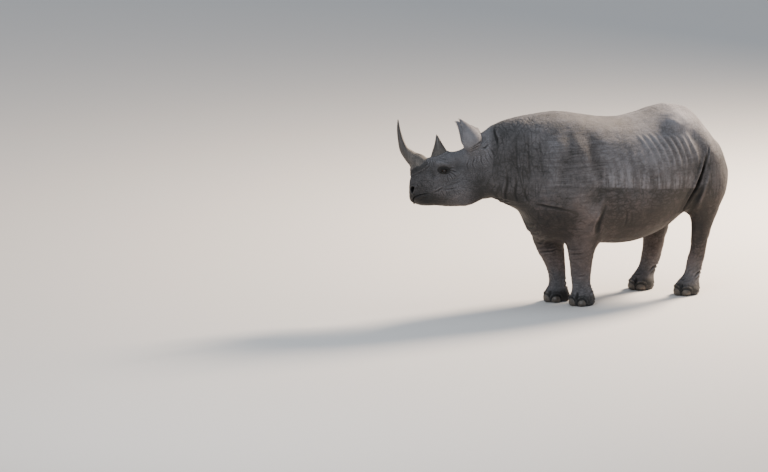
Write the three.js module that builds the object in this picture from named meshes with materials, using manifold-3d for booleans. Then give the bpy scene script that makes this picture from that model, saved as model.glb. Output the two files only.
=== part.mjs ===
// Black rhinoceros, adult, life size, standing square with its head turned to its right.
//
// Millimetres, +Z up, soles on z = 0. The animal is shaped along a straight spine that runs along X, with the
// head towards -X and its left side towards -Y. Fields of rounded masses are joined smoothly and sampled into
// faceted solids, the neck and head are turned along an arc in plan, and thin planar cuts part the pieces.
import * as THREE from "three";
import { mergeVertices } from "three/addons/utils/BufferGeometryUtils.js";
import Module from "manifold-3d";

const wasm = await Module();
wasm.setup();

// ---- Driving dimensions ---------------------------------------------------------------------------------

const GAP = 0.3; // between neighbouring solids
const HALF_GAP = GAP / 2;

const NECK_TURN = { from: -760, to: -1400, angle: THREE.MathUtils.degToRad(33) };
const NECK_CUT = -1010; // trunk | neck
const HEAD_CUT = -1335; // neck | head
const FORE_CUT = { height: 560, front: -900, back: -400, inner: 60 }; // trunk | fore legs
const HIND_CUT = { height: 700, front: 120, back: 900, inner: 45 }; // trunk | hind legs
const FOOT_CUT = 150; // leg | foot
const BELLY_FLOOR = 420; // no part of the trunk is lower

const CELL = { trunk: 105, neck: 76, head: 41.5, leg: 61, foot: 55 };

const SIDES = { left: -1, right: 1 };

// Profiles along the spine: [station, value].
const BODY = {
  top: [[-1420, 1405], [-1340, 1470], [-1262, 1538], [-1187, 1566], [-1018, 1604], [-750, 1622], [-654, 1618],
    [-461, 1578], [-268, 1538], [-74, 1520], [122, 1538], [250, 1569], [345, 1588], [416, 1575], [540, 1554],
    [600, 1492], [700, 1345], [804, 1190]],
  bottom: [[-1420, 935], [-1290, 950], [-1205, 910], [-1097, 842], [-1030, 800], [-950, 675], [-870, 600],
    [-600, 535], [-355, 490], [-200, 470], [-34, 470], [113, 506], [211, 538], [359, 615], [458, 690],
    [600, 800], [800, 900]],
  half: [[-1420, 160], [-1300, 188], [-1180, 220], [-1030, 262], [-900, 300], [-700, 340], [-400, 398],
    [-100, 438], [150, 428], [400, 375], [600, 315], [800, 255]],
  widest: 0.45,
  roundness: 2.25,
  rearCap: [600, 205],
  frontCap: [-1330, 110],
};
const HEAD = {
  top: [[-1935, 1148], [-1880, 1192], [-1790, 1246], [-1690, 1292], [-1620, 1314], [-1560, 1324],
    [-1495, 1352], [-1420, 1412], [-1340, 1465]],
  bottom: [[-1935, 930], [-1890, 912], [-1800, 888], [-1700, 872], [-1611, 866], [-1528, 870], [-1445, 889],
    [-1362, 924], [-1280, 952]],
  half: [[-1935, 78], [-1865, 90], [-1785, 98], [-1705, 116], [-1635, 136], [-1545, 150], [-1435, 162],
    [-1330, 172]],
  widest: 0.5,
  roundness: 2.4,
  rearCap: [-1420, 160],
  frontCap: [-1888, 55],
};

// ---- Fields: negative inside, positive outside, in millimetres ------------------------------------------

function track(points) {
  const stations = points.map(([station]) => station);
  const values = points.map(([, value]) => value);
  const curve = new THREE.CubicInterpolant(stations, values, 1);
  const first = stations[0];
  const last = stations[stations.length - 1];
  return (x) => curve.evaluate(THREE.MathUtils.clamp(x, first, last))[0];
}

// A barrel along the spine whose top, bottom and half width follow profiles, rounded off past each cap.
function barrel(shape) {
  const top = track(shape.top);
  const bottom = track(shape.bottom);
  const half = track(shape.half);
  const n = shape.roundness;
  const [rearStart, rearLength] = shape.rearCap;
  const [frontStart, frontLength] = shape.frontCap;
  return (x, y, z) => {
    const high = top(x);
    const low = bottom(x);
    const middle = low + (high - low) * shape.widest;
    const reach = z > middle ? high - middle : middle - low;
    const wide = half(x);
    const beyond = Math.max(0, (x - rearStart) / rearLength, (frontStart - x) / frontLength);
    const side = Math.abs(y) / wide;
    const rise = Math.abs(z - middle) / reach;
    const radius = (side ** n + rise ** n + beyond ** n) ** (1 / n);
    return (radius - 1) * Math.min(wide, reach);
  };
}

function ellipsoid([cx, cy, cz], [rx, ry, rz], pitch = 0) {
  const cos = Math.cos(THREE.MathUtils.degToRad(pitch));
  const sin = Math.sin(THREE.MathUtils.degToRad(pitch));
  return (x, y, z) => {
    const dx = x - cx;
    const dz = z - cz;
    const u = (dx * cos + dz * sin) / rx;
    const v = (y - cy) / ry;
    const w = (dz * cos - dx * sin) / rz;
    const near = Math.hypot(u, v, w);
    const steep = Math.hypot(u / rx, v / ry, w / rz);
    return steep < 1e-9 ? -Math.min(rx, ry, rz) : (near * (near - 1)) / steep;
  };
}

// A chain of tapered lengths: each joint is [x, y, z, radius]. `slim` narrows it sideways.
function limb(joints, slim = 1) {
  return (x, y, z) => {
    let best = Infinity;
    for (let i = 1; i < joints.length; i += 1) {
      const [ax, ay, az, ar] = joints[i - 1];
      const [bx, by, bz, br] = joints[i];
      const ex = bx - ax;
      const ey = by - ay;
      const ez = bz - az;
      const along = ((x - ax) * ex + (y - ay) * ey + (z - az) * ez) / (ex * ex + ey * ey + ez * ez);
      const t = THREE.MathUtils.clamp(along, 0, 1);
      const off = Math.hypot(x - ax - ex * t, (y - ay - ey * t) / slim, z - az - ez * t);
      best = Math.min(best, off - ar - (br - ar) * t);
    }
    return best * slim;
  };
}

const mirrored = (field) => (x, y, z) => field(x, Math.abs(y), z);

// Joins fields with a rounded valley about `blend` wide.
function joined(blend, ...fields) {
  return (x, y, z) => fields.reduce((near, field) => {
    const next = field(x, y, z);
    const mix = Math.max(blend - Math.abs(near - next), 0) / blend;
    return Math.min(near, next) - (mix * mix * blend) / 4;
  }, Infinity);
}

// Takes `hollow` out of `field` with a rounded edge.
function hollowed(blend, field, hollow) {
  return (x, y, z) => {
    const near = field(x, y, z);
    const next = -hollow(x, y, z);
    const mix = Math.max(blend - Math.abs(near - next), 0) / blend;
    return Math.max(near, next) + (mix * mix * blend) / 4;
  };
}

// ---- Masses of the body ---------------------------------------------------------------------------------

// Joints of each leg from the body down to the fetlock, then the middle of the foot: [x, |y|, z, radius].
const LEGS = {
  front_left: {
    side: -1,
    joints: [[-700, 215, 1020, 190], [-590, 205, 790, 172], [-550, 165, 600, 148], [-558, 148, 440, 112],
      [-560, 142, 300, 94], [-558, 140, 190, 82], [-545, 140, 90, 82]],
    foot: [-548, 140],
  },
  front_right: {
    side: 1,
    joints: [[-740, 215, 1020, 190], [-690, 205, 790, 165], [-705, 160, 560, 134], [-664, 148, 430, 108],
      [-630, 142, 300, 84], [-614, 140, 180, 72], [-622, 140, 90, 76]],
    foot: [-628, 140],
  },
  hind_left: {
    side: -1,
    joints: [[500, 175, 1100, 212], [588, 205, 880, 182], [600, 222, 700, 118], [560, 222, 530, 84],
      [534, 220, 370, 70], [500, 220, 245, 76], [470, 220, 157, 70], [432, 220, 75, 78]],
    foot: [418, 220],
  },
  hind_right: {
    side: 1,
    joints: [[480, 175, 1100, 215], [500, 205, 880, 190], [440, 222, 700, 135], [388, 222, 510, 112],
      [370, 220, 380, 94], [350, 220, 275, 88], [308, 220, 175, 76], [260, 220, 85, 82]],
    foot: [246, 220],
  },
};
const FOOT = { length: 112, width: 104, height: 84, centre: 38 };

function legField({ side, joints, foot: [footX, footY] }) {
  const chain = limb(joints.map(([x, y, z, r]) => [x, side * y, z, r]), 0.86);
  const pad = ellipsoid([footX, side * footY, FOOT.centre], [FOOT.length, FOOT.width, FOOT.height]);
  return joined(60, chain, pad);
}

const legFields = Object.fromEntries(Object.entries(LEGS).map(([name, leg]) => [name, legField(leg)]));

const shoulder = mirrored(ellipsoid([-690, 235, 1040], [230, 125, 390], 12));
const haunch = mirrored(ellipsoid([560, 185, 1020], [278, 165, 362], 12));
const hip = mirrored(ellipsoid([352, 228, 1420], [120, 78, 92], -14));
const elbow = mirrored(ellipsoid([-452, 262, 742], [118, 92, 132], -20));
const brisket = ellipsoid([-860, 0, 730], [108, 170, 140]);

const torso = joined(80, barrel(BODY), joined(100, shoulder, haunch, brisket), hip, elbow);

const muzzle = mirrored(ellipsoid([-1880, 42, 1030], [66, 62, 96]));
const upperLip = ellipsoid([-1888, 0, 962], [60, 82, 58]);
const lipTip = ellipsoid([-1918, 0, 926], [26, 40, 24]);
const lowerLip = ellipsoid([-1825, 0, 925], [80, 68, 44]);
const cheek = mirrored(ellipsoid([-1485, 92, 1020], [140, 78, 132], 15));
const brow = mirrored(ellipsoid([-1632, 104, 1232], [82, 38, 48], 12));
const frontPad = ellipsoid([-1858, 0, 1182], [86, 80, 50], 33);
const rearPad = ellipsoid([-1698, 0, 1272], [86, 62, 36], 21);
const earRoot = mirrored(ellipsoid([-1402, 118, 1372], [70, 55, 58]));
const socket = mirrored(ellipsoid([-1653, 165, 1186], [52, 30, 36], 8));
const nostril = mirrored(ellipsoid([-1944, 78, 1022], [24, 22, 32], 15));

const skull = joined(
  40,
  barrel(HEAD),
  joined(36, muzzle, upperLip, lipTip, lowerLip),
  joined(40, cheek, brow, frontPad, rearPad, earRoot),
);
const face = hollowed(18, hollowed(16, skull, socket), nostril);

const body = joined(80, joined(60, torso, face), ...Object.values(legFields));

// ---- Turning the neck -----------------------------------------------------------------------------------

// Where a station of the straight spine lies on the turned one, an arc in plan and then a straight, and its
// heading there.
function spineAt(station) {
  const bend = NECK_TURN.from - NECK_TURN.to;
  const rate = NECK_TURN.angle / bend;
  const travel = Math.max(0, NECK_TURN.from - station);
  const heading = rate * Math.min(travel, bend);
  const past = Math.max(0, travel - bend);
  return {
    heading,
    x: Math.max(station, NECK_TURN.from) - Math.sin(heading) / rate - past * Math.cos(heading),
    y: (1 - Math.cos(heading)) / rate + past * Math.sin(heading),
  };
}

function turnNeck(geometry) {
  const position = geometry.attributes.position;
  for (let i = 0; i < position.count; i += 1) {
    const { heading, x, y } = spineAt(position.getX(i));
    const side = position.getY(i);
    position.setXY(i, x + side * Math.sin(heading), y + side * Math.cos(heading));
  }
  return geometry;
}

// ---- From fields to solids ------------------------------------------------------------------------------

// Pulls a point onto the zero surface of a field along its slope.
function settle(field, point) {
  const step = 1;
  for (let pass = 0; pass < 3; pass += 1) {
    const { x, y, z } = point;
    const value = field(x, y, z);
    const slope = new THREE.Vector3(
      field(x + step, y, z) - field(x - step, y, z),
      field(x, y + step, z) - field(x, y - step, z),
      field(x, y, z + step) - field(x, y, z - step),
    ).divideScalar(2 * step);
    const steep = Math.max(slope.lengthSq(), 0.05);
    point.addScaledVector(slope, THREE.MathUtils.clamp(-value / steep, -10, 10));
  }
}

// A box of `cell` sized cells: the count of grid points along each axis, and the index of one of them.
function gridOver(low, high, cell) {
  const [nx, ny, nz] = high.map((value, axis) => Math.ceil((value - low[axis]) / cell) + 1);
  return { low, cell, nx, ny, nz, index: (i, j, k) => (k * ny + j) * nx + i };
}

// Calls `visit` for every grid point, leaving out the last `short` along each axis.
function eachPoint({ nx, ny, nz }, short, visit) {
  for (let k = 0; k < nz - short; k += 1) {
    for (let j = 0; j < ny - short; j += 1) {
      for (let i = 0; i < nx - short; i += 1) {
        visit(i, j, k);
      }
    }
  }
}

const onBorder = ({ nx, ny, nz }, short, i, j, k) =>
  i === 0 || j === 0 || k === 0 || i === nx - 1 - short || j === ny - 1 - short || k === nz - 1 - short;

// The field at each grid point. Those on the border count as outside, so that the surface closes there.
function sampled(field, grid) {
  const values = new Float32Array(grid.nx * grid.ny * grid.nz);
  eachPoint(grid, 0, (i, j, k) => {
    const [x, y, z] = [i, j, k].map((step, axis) => grid.low[axis] + step * grid.cell);
    const value = field(x, y, z);
    values[grid.index(i, j, k)] = onBorder(grid, 0, i, j, k) ? Math.max(value, 1) : value;
  });
  return values;
}

const CORNERS = [0, 1].flatMap((c) => [0, 1].flatMap((b) => [0, 1].map((a) => [a, b, c])));
const CELL_EDGES = CORNERS.flatMap((a, m) => CORNERS.slice(m + 1)
  .filter((b) => Math.abs(a[0] - b[0]) + Math.abs(a[1] - b[1]) + Math.abs(a[2] - b[2]) === 1)
  .map((b) => [a, b]));

// The middle of the points where the surface crosses a cell's edges, or nothing.
function crossingOf(values, grid, i, j, k) {
  const sum = new THREE.Vector3();
  let crossings = 0;
  for (const [a, b] of CELL_EDGES) {
    const va = values[grid.index(i + a[0], j + a[1], k + a[2])];
    const vb = values[grid.index(i + b[0], j + b[1], k + b[2])];
    if (va < 0 !== vb < 0) {
      sum.add(new THREE.Vector3(...a).lerp(new THREE.Vector3(...b), va / (va - vb)));
      crossings += 1;
    }
  }
  if (!crossings) return null;
  sum.divideScalar(crossings).add(new THREE.Vector3(i, j, k)).multiplyScalar(grid.cell);
  return sum.add(new THREE.Vector3(...grid.low));
}

// The loops of four cells round the three grid edges that leave a point, with the far end of each edge.
const EDGE_LOOPS = [
  { far: [1, 0, 0], loop: [[0, -1, -1], [0, 0, -1], [0, 0, 0], [0, -1, 0]] },
  { far: [0, 1, 0], loop: [[-1, 0, -1], [-1, 0, 0], [0, 0, 0], [0, 0, -1]] },
  { far: [0, 0, 1], loop: [[-1, -1, 0], [0, -1, 0], [0, 0, 0], [-1, 0, 0]] },
];

// The zero surface of a field as a closed geometry, with a vertex in each crossed cell and a quad for each
// crossed edge.
function surface(field, low, high, cell) {
  const grid = gridOver(low, high, cell);
  const values = sampled(field, grid);
  const points = [];
  const vertexOf = new Map();
  eachPoint(grid, 1, (i, j, k) => {
    const point = crossingOf(values, grid, i, j, k);
    if (point) {
      if (!onBorder(grid, 1, i, j, k)) settle(field, point);
      vertexOf.set(grid.index(i, j, k), points.length);
      points.push(point);
    }
  });
  const faces = [];
  eachPoint(grid, 1, (i, j, k) => {
    const inside = values[grid.index(i, j, k)] < 0;
    for (const { far, loop } of EDGE_LOOPS) {
      const cells = loop.map(([di, dj, dk]) => [i + di, j + dj, k + dk]);
      const beyond = values[grid.index(i + far[0], j + far[1], k + far[2])] < 0;
      if (inside !== beyond && cells.flat().every((step) => step >= 0)) {
        const [a, b, c, d] = cells.map((at) => vertexOf.get(grid.index(...at)));
        const even = points[a].distanceTo(points[c]) < points[b].distanceTo(points[d]);
        const pair = even ? [[a, b, c], [a, c, d]] : [[a, b, d], [b, c, d]];
        faces.push(...pair.flatMap((face) => (inside ? face : face.reverse())));
      }
    }
  });
  const geometry = new THREE.BufferGeometry();
  geometry.setAttribute("position", new THREE.Float32BufferAttribute(points.flatMap((p) => p.toArray()), 3));
  geometry.setIndex(faces);
  return geometry;
}

function solid(geometry) {
  const bare = geometry.clone();
  bare.deleteAttribute("normal");
  bare.deleteAttribute("uv");
  const welded = mergeVertices(bare, 1e-3);
  return new wasm.Manifold(new wasm.Mesh({
    numProp: 3,
    vertProperties: new Float32Array(welded.attributes.position.array),
    triVerts: new Uint32Array(welded.index.array),
  }));
}

function geometryOf(body) {
  const mesh = body.getMesh();
  const geometry = new THREE.BufferGeometry();
  geometry.setAttribute("position", new THREE.BufferAttribute(new Float32Array(mesh.vertProperties), 3));
  geometry.setIndex(new THREE.BufferAttribute(new Uint32Array(mesh.triVerts), 1));
  return geometry;
}

function block(low, high) {
  const size = high.map((value, axis) => value - low[axis]);
  const geometry = new THREE.BoxGeometry(...size);
  geometry.translate(...low.map((value, axis) => value + size[axis] / 2));
  return solid(geometry);
}

// The flesh in a box of the straight animal, sampled a little past it and turned. Its ends are rough, so the
// planar cuts come afterwards.
function flesh(low, high, cell) {
  const wideLow = low.map((value) => value - 1.5 * cell);
  const wideHigh = high.map((value) => value + 1.5 * cell);
  return solid(turnNeck(surface(body, wideLow, wideHigh, cell)));
}

// All the space ahead of a station of the spine, square to it.
function ahead(station) {
  const reach = 3000;
  const { heading, x, y } = spineAt(station);
  const geometry = new THREE.BoxGeometry(reach, 2 * reach, 2 * reach);
  geometry.translate(-reach / 2, 0, 0);
  geometry.rotateZ(-heading);
  geometry.translate(x, y, 0);
  return solid(geometry);
}

// Stacks closed rings of an equal, even count of points into one closed solid, anticlockwise along the stack.
// Each end is a strip across the ring, so that a ring may be round or a curved wall.
function loft(rings) {
  const around = rings[0].length;
  const positions = rings.flat().flatMap((point) => [point.x, point.y, point.z]);
  const faces = [];
  for (let r = 0; r < rings.length - 1; r += 1) {
    for (let a = 0; a < around; a += 1) {
      const b = (a + 1) % around;
      const low = r * around;
      const high = low + around;
      faces.push(low + a, low + b, high + b, low + a, high + b, high + a);
    }
  }
  const last = (rings.length - 1) * around;
  for (let a = 0; a < around / 2 - 1; a += 1) {
    const b = a + 1;
    const c = around - 2 - a;
    const d = around - 1 - a;
    faces.push(a, c, b, a, d, c);
    faces.push(last + a, last + b, last + c, last + a, last + c, last + d);
  }
  const geometry = new THREE.BufferGeometry();
  geometry.setAttribute("position", new THREE.Float32BufferAttribute(positions, 3));
  geometry.setIndex(faces);
  return solid(turnNeck(geometry));
}

// ---- Horns, ears, eyes, nails and tail ------------------------------------------------------------------

// Each horn: a curve through its middle, and rings of [share along it, half length fore and aft, half width].
const HORNS = {
  front: {
    path: [[-1848, 1186], [-1880, 1236], [-1934, 1282], [-1981, 1335], [-2014, 1425], [-2030, 1510],
      [-2034, 1594]],
    rings: [[0, 104, 82], [0.12, 80, 66], [0.22, 60, 54], [0.34, 47, 44], [0.47, 37, 36], [0.64, 24, 24],
      [0.8, 15, 15], [0.93, 8, 8], [1, 4, 4]],
    around: 12,
  },
  rear: {
    path: [[-1692, 1280], [-1697, 1325], [-1706, 1395], [-1717, 1466]],
    rings: [[0, 80, 56], [0.25, 60, 45], [0.45, 43, 34], [0.64, 28, 25], [0.82, 16, 15], [0.95, 8, 8],
      [1, 4, 4]],
    around: 12,
  },
};

function horn({ path, rings, around }, grow = 0) {
  const curve = new THREE.CatmullRomCurve3(path.map(([x, z]) => new THREE.Vector3(x, 0, z)));
  return loft(rings.map(([share, long, wide]) => {
    const along = curve.getTangentAt(share);
    const middle = curve.getPointAt(share).addScaledVector(along, share === 0 ? -grow : 0);
    const fore = new THREE.Vector3(along.z, 0, -along.x);
    return Array.from({ length: around }, (_, i) => {
      const angle = (2 * Math.PI * i) / around;
      return middle.clone().addScaledVector(fore, (long + grow) * Math.cos(angle))
        .add(new THREE.Vector3(0, (wide + grow) * Math.sin(angle), 0));
    });
  }));
}

// The ear is a cupped leaf: a curved wall, nearly a tube at its root, that opens forwards towards the tip.
const EAR = {
  root: [-1400, 118, 1372],
  tips: { left: [-1520, 148, 1616], right: [-1562, 160, 1548] },
  rings: [[0, 54, 165], [0.14, 70, 150], [0.3, 90, 130], [0.46, 95, 112], [0.62, 80, 100], [0.78, 52, 92],
    [0.9, 28, 84], [1, 9, 75]],
  wall: 13,
  around: 8,
  opening: 24,
};

function ear(name, grow = 0) {
  const side = SIDES[name];
  const [tipX, tipY, tipZ] = EAR.tips[name];
  const root = new THREE.Vector3(EAR.root[0], side * EAR.root[1], EAR.root[2]);
  const tip = new THREE.Vector3(tipX, side * tipY, tipZ);
  const axis = tip.clone().sub(root).normalize();
  const forwards = new THREE.Vector3(-1, 0, 0);
  forwards.addScaledVector(axis, -forwards.dot(axis)).normalize();
  forwards.applyAxisAngle(axis, THREE.MathUtils.degToRad(-side * EAR.opening));
  const across = new THREE.Vector3().crossVectors(axis, forwards);
  return loft(EAR.rings.map(([share, radius, spread]) => {
    const middle = root.clone().lerp(tip, share).addScaledVector(axis, share === 0 ? -grow : 0);
    const arc = (r, from, to) => Array.from({ length: EAR.around }, (_, i) => {
      const angle = THREE.MathUtils.degToRad(180 + THREE.MathUtils.lerp(from, to, i / (EAR.around - 1)));
      return middle.clone().addScaledVector(forwards, r * Math.cos(angle))
        .addScaledVector(across, r * Math.sin(angle));
    });
    const inner = radius - Math.min(EAR.wall, radius * 0.6);
    const wide = spread + THREE.MathUtils.radToDeg(grow / inner);
    return [...arc(radius + grow, -wide, wide), ...arc(inner - grow, wide, -wide)];
  }));
}

const EYE = { centre: [-1651, 126, 1185], radius: 24 };

function eye(name, grow = 0) {
  const [x, y, z] = EYE.centre;
  const ball = new THREE.SphereGeometry(EYE.radius + grow, 10, 7);
  ball.translate(x, SIDES[name] * y, z);
  return solid(turnNeck(ball));
}

// The nails of each foot: [angle from straight ahead, half width]. Each is the upper part of an ellipsoid.
const NAILS = { inner: [-58, 34], middle: [0, 42], outer: [58, 34] };
const NAIL = { height: 62, thick: 24, set: 96, rise: 8 };

function nail(leg, which, grow = 0) {
  const [angle, half] = NAILS[which];
  const turn = THREE.MathUtils.degToRad(angle) * leg.side;
  const shell = new THREE.SphereGeometry(1, 8, 5);
  shell.scale(NAIL.thick + grow, half + grow, NAIL.height + grow);
  shell.rotateZ(-turn);
  const [footX, footY] = leg.foot;
  shell.translate(footX - NAIL.set * Math.cos(turn), leg.side * footY + NAIL.set * Math.sin(turn), NAIL.rise);
  return solid(shell);
}

// The tail hangs between the buttocks. Its rings are [share along it, radius fore and aft, radius across].
const TAIL = {
  path: [[692, 0, 1330], [775, 2, 1232], [826, 6, 1110], [840, 12, 975], [832, 18, 840], [812, 24, 720],
    [790, 28, 615]],
  flesh: [[0, 46, 50], [0.12, 38, 40], [0.3, 27, 28], [0.5, 20, 22], [0.68, 15, 18], [0.84, 9, 13]],
  tuft: [[0.74, 17, 19], [0.8, 26, 21], [0.9, 30, 20], [0.97, 22, 14], [1, 8, 6]],
  around: 10,
};

function tailLength(rings, grow = 0) {
  const curve = new THREE.CatmullRomCurve3(TAIL.path.map((point) => new THREE.Vector3(...point)));
  return loft(rings.map(([share, long, wide], index) => {
    const along = curve.getTangentAt(share);
    const middle = curve.getPointAt(share);
    if (index === 0) middle.addScaledVector(along, -grow);
    if (index === rings.length - 1) middle.addScaledVector(along, grow);
    const across = new THREE.Vector3(0, 1, 0);
    const out = new THREE.Vector3().crossVectors(across, along).normalize();
    return Array.from({ length: TAIL.around }, (_, i) => {
      const angle = (2 * Math.PI * i) / TAIL.around;
      return middle.clone().addScaledVector(out, (long + grow) * Math.cos(angle))
        .addScaledVector(across, (wide + grow) * Math.sin(angle));
    });
  }));
}

// ---- Parts ----------------------------------------------------------------------------------------------

const skinFinish = new THREE.MeshStandardMaterial({ color: 0x6e6866, roughness: 0.85, metalness: 0 });
const hornFinish = new THREE.MeshStandardMaterial({ color: 0x3a3531, roughness: 0.6, metalness: 0 });
const nailFinish = new THREE.MeshStandardMaterial({ color: 0x4d453d, roughness: 0.55, metalness: 0 });
const hairFinish = new THREE.MeshStandardMaterial({ color: 0x1d1a18, roughness: 0.7, metalness: 0 });
const eyeFinish = new THREE.MeshStandardMaterial({ color: 0x120d0a, roughness: 0.1, metalness: 0 });

const rhinoceros = new THREE.Group();

function addNode(name, made, finish) {
  const mesh = new THREE.Mesh(geometryOf(made), finish);
  mesh.name = name;
  rhinoceros.add(mesh);
}

const REACH = { nose: -2000, rump: 940, side: 470, throat: 820, chest: 620, top: 1680 };
const FAR = 3000;

const legCut = (name) => (name.startsWith("front") ? FORE_CUT : HIND_CUT);

// The space of a leg between two heights, drawn in by `inset` from the cuts round it.
function legSpace(name, low, high, inset) {
  const cut = legCut(name);
  const { side } = LEGS[name];
  const ys = [side * cut.inner, side * FAR].sort((a, b) => a - b);
  return block([cut.front + inset, ys[0] + inset, low], [cut.back - inset, ys[1] - inset, high - inset]);
}

function addTrunk() {
  const low = [NECK_CUT, -REACH.side, BELLY_FLOOR];
  let trunk = flesh(low, [REACH.rump, REACH.side, REACH.top], CELL.trunk);
  trunk = trunk.subtract(ahead(NECK_CUT + HALF_GAP)).subtract(tailLength(TAIL.flesh, GAP));
  for (const name of Object.keys(LEGS)) {
    trunk = trunk.subtract(legSpace(name, -FAR, legCut(name).height, -HALF_GAP));
  }
  addNode("trunk", trunk, skinFinish);
}

function addNeck() {
  let neck = flesh([HEAD_CUT, -REACH.side, REACH.chest], [NECK_CUT, REACH.side, REACH.top], CELL.neck);
  neck = neck.intersect(ahead(NECK_CUT - HALF_GAP)).subtract(ahead(HEAD_CUT + HALF_GAP));
  addNode("neck", neck, skinFinish);
}

function addHead() {
  const side = REACH.side;
  let head = flesh([REACH.nose, -side, REACH.throat], [HEAD_CUT, side, REACH.top], CELL.head);
  head = head.intersect(ahead(HEAD_CUT - HALF_GAP));
  for (const name of Object.keys(SIDES)) {
    head = head.subtract(eye(name, GAP)).subtract(ear(name, GAP));
  }
  for (const shape of Object.values(HORNS)) {
    head = head.subtract(horn(shape, GAP));
  }
  addNode("head", head, skinFinish);
}

function addLeg(name, leg) {
  const cut = legCut(name);
  const [near, far] = [leg.side * cut.inner, leg.side * REACH.side].sort((a, b) => a - b);
  let upper = flesh([cut.front, near, FOOT_CUT], [cut.back, far, cut.height], CELL.leg);
  upper = upper.intersect(legSpace(name, FOOT_CUT + HALF_GAP, cut.height, HALF_GAP));
  addNode(`leg_${name}`, upper, skinFinish);
  let foot = flesh([cut.front, near, 0], [cut.back, far, FOOT_CUT], CELL.foot);
  foot = foot.intersect(legSpace(name, 0, FOOT_CUT, HALF_GAP));
  const aboveFloor = block([-FAR, -FAR, 0], [FAR, FAR, FAR]);
  for (const which of Object.keys(NAILS)) {
    foot = foot.subtract(nail(leg, which, GAP));
    addNode(`nail_${name}_${which}`, nail(leg, which).intersect(aboveFloor), nailFinish);
  }
  addNode(`foot_${name}`, foot, skinFinish);
}

addTrunk();
addNeck();
addHead();
for (const [name, leg] of Object.entries(LEGS)) {
  addLeg(name, leg);
}
for (const name of Object.keys(SIDES)) {
  addNode(`eye_${name}`, eye(name), eyeFinish);
  addNode(`ear_${name}`, ear(name), skinFinish);
}
for (const [name, shape] of Object.entries(HORNS)) {
  addNode(`horn_${name}`, horn(shape), hornFinish);
}
addNode("tail", tailLength(TAIL.flesh), skinFinish);
addNode("tail_tuft", tailLength(TAIL.tuft).subtract(tailLength(TAIL.flesh, GAP)), hairFinish);

// The origin is under the middle of the animal's box, on the floor.
const box = new THREE.Box3().setFromObject(rhinoceros);
const middle = box.getCenter(new THREE.Vector3());
rhinoceros.position.set(-middle.x, -middle.y, -box.min.z);

export default rhinoceros;
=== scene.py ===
import math
from contextlib import contextmanager
from functools import cache, partial
from itertools import product

import bmesh
import bpy
import numpy as np
from mathutils import Matrix, Vector
from mathutils.bvhtree import BVHTree


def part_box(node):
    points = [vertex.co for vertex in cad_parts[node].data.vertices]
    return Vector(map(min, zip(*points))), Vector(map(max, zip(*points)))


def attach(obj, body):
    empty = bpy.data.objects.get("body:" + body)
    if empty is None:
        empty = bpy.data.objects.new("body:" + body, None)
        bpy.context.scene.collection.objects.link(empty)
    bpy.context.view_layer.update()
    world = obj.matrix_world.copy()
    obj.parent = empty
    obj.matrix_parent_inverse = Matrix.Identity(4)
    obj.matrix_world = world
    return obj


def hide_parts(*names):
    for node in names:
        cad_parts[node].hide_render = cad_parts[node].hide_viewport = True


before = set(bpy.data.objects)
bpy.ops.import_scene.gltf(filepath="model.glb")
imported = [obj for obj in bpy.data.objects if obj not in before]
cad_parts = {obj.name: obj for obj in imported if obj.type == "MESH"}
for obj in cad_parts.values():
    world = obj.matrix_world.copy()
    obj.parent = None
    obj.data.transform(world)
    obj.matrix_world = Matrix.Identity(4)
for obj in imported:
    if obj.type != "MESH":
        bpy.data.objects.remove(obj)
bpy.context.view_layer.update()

# ---- Landmarks ------------------------------------------------------------------------------------------
# The body's axes are the frame's: ahead is -X and the animal's left is -Y. The head has axes of its own.

UP = Vector((0, 0, 1))
AHEAD = Vector((-1, 0, 0))
SIDES = {"left": -1, "right": 1}
LEGS = ("front_left", "front_right", "hind_left", "hind_right")


@cache
def centre_of(node):
    low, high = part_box(node)
    return (low + high) / 2


EYES = {side: centre_of("eye_" + side) for side in SIDES}
MID_EYES = (EYES["left"] + EYES["right"]) / 2
HEAD_SIDE = (EYES["right"] - EYES["left"]).normalized()
HEAD_AHEAD = UP.cross(HEAD_SIDE).normalized()
SPINE_Y = (centre_of("foot_front_left").y + centre_of("foot_front_right").y) / 2
STATION_0 = centre_of("foot_front_left").x  # stations run back along the body from the near forefoot


def in_head(ahead, side, up):
    """A point given in the head's axes, from the point midway between the eyes."""
    return MID_EYES + HEAD_AHEAD * ahead + HEAD_SIDE * side + UP * up


def in_body(station, side, height):
    """A point given along the body, from the middle of its breadth and from the floor."""
    return Vector((STATION_0 + station, SPINE_Y + side, height))


def eye_axes(side_name):
    """An eye's centre, its radius and the way it looks: outwards and a little ahead."""
    low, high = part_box("eye_" + side_name)
    gaze = (HEAD_SIDE * SIDES[side_name] + HEAD_AHEAD * 0.12).normalized()
    return EYES[side_name], (high.z - low.z) / 2, gaze


# ---- Camera ---------------------------------------------------------------------------------------------

CAMERA = {"azimuth": -29.81, "elevation": 9.77, "roll": 0.97, "distance": 70.03, "width": 6.4}
AIM = Vector((-1.169, 1.094, 0.512))  # ahead of the muzzle: the animal stands right of the middle


def direction(azimuth, elevation):
    a, e = math.radians(azimuth), math.radians(elevation)
    return Vector((math.sin(a) * math.cos(e), -math.cos(a) * math.cos(e), math.sin(e)))


def make_camera():
    back = direction(CAMERA["azimuth"], CAMERA["elevation"])
    right = UP.cross(back).normalized()
    right.rotate(Matrix.Rotation(math.radians(-CAMERA["roll"]), 3, back))
    camera = bpy.data.cameras.new("camera")
    camera.sensor_width = 36.0
    camera.lens = camera.sensor_width * CAMERA["distance"] / CAMERA["width"]
    camera.clip_start, camera.clip_end = 1.0, 500.0
    made = bpy.data.objects.new("camera", camera)
    turn = Matrix((right, back.cross(right), back)).transposed().to_4x4()
    made.matrix_world = Matrix.Translation(AIM + back * CAMERA["distance"]) @ turn
    bpy.context.collection.objects.link(made)
    bpy.context.scene.camera = made


# ---- Numbers along curves -------------------------------------------------------------------------------


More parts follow.
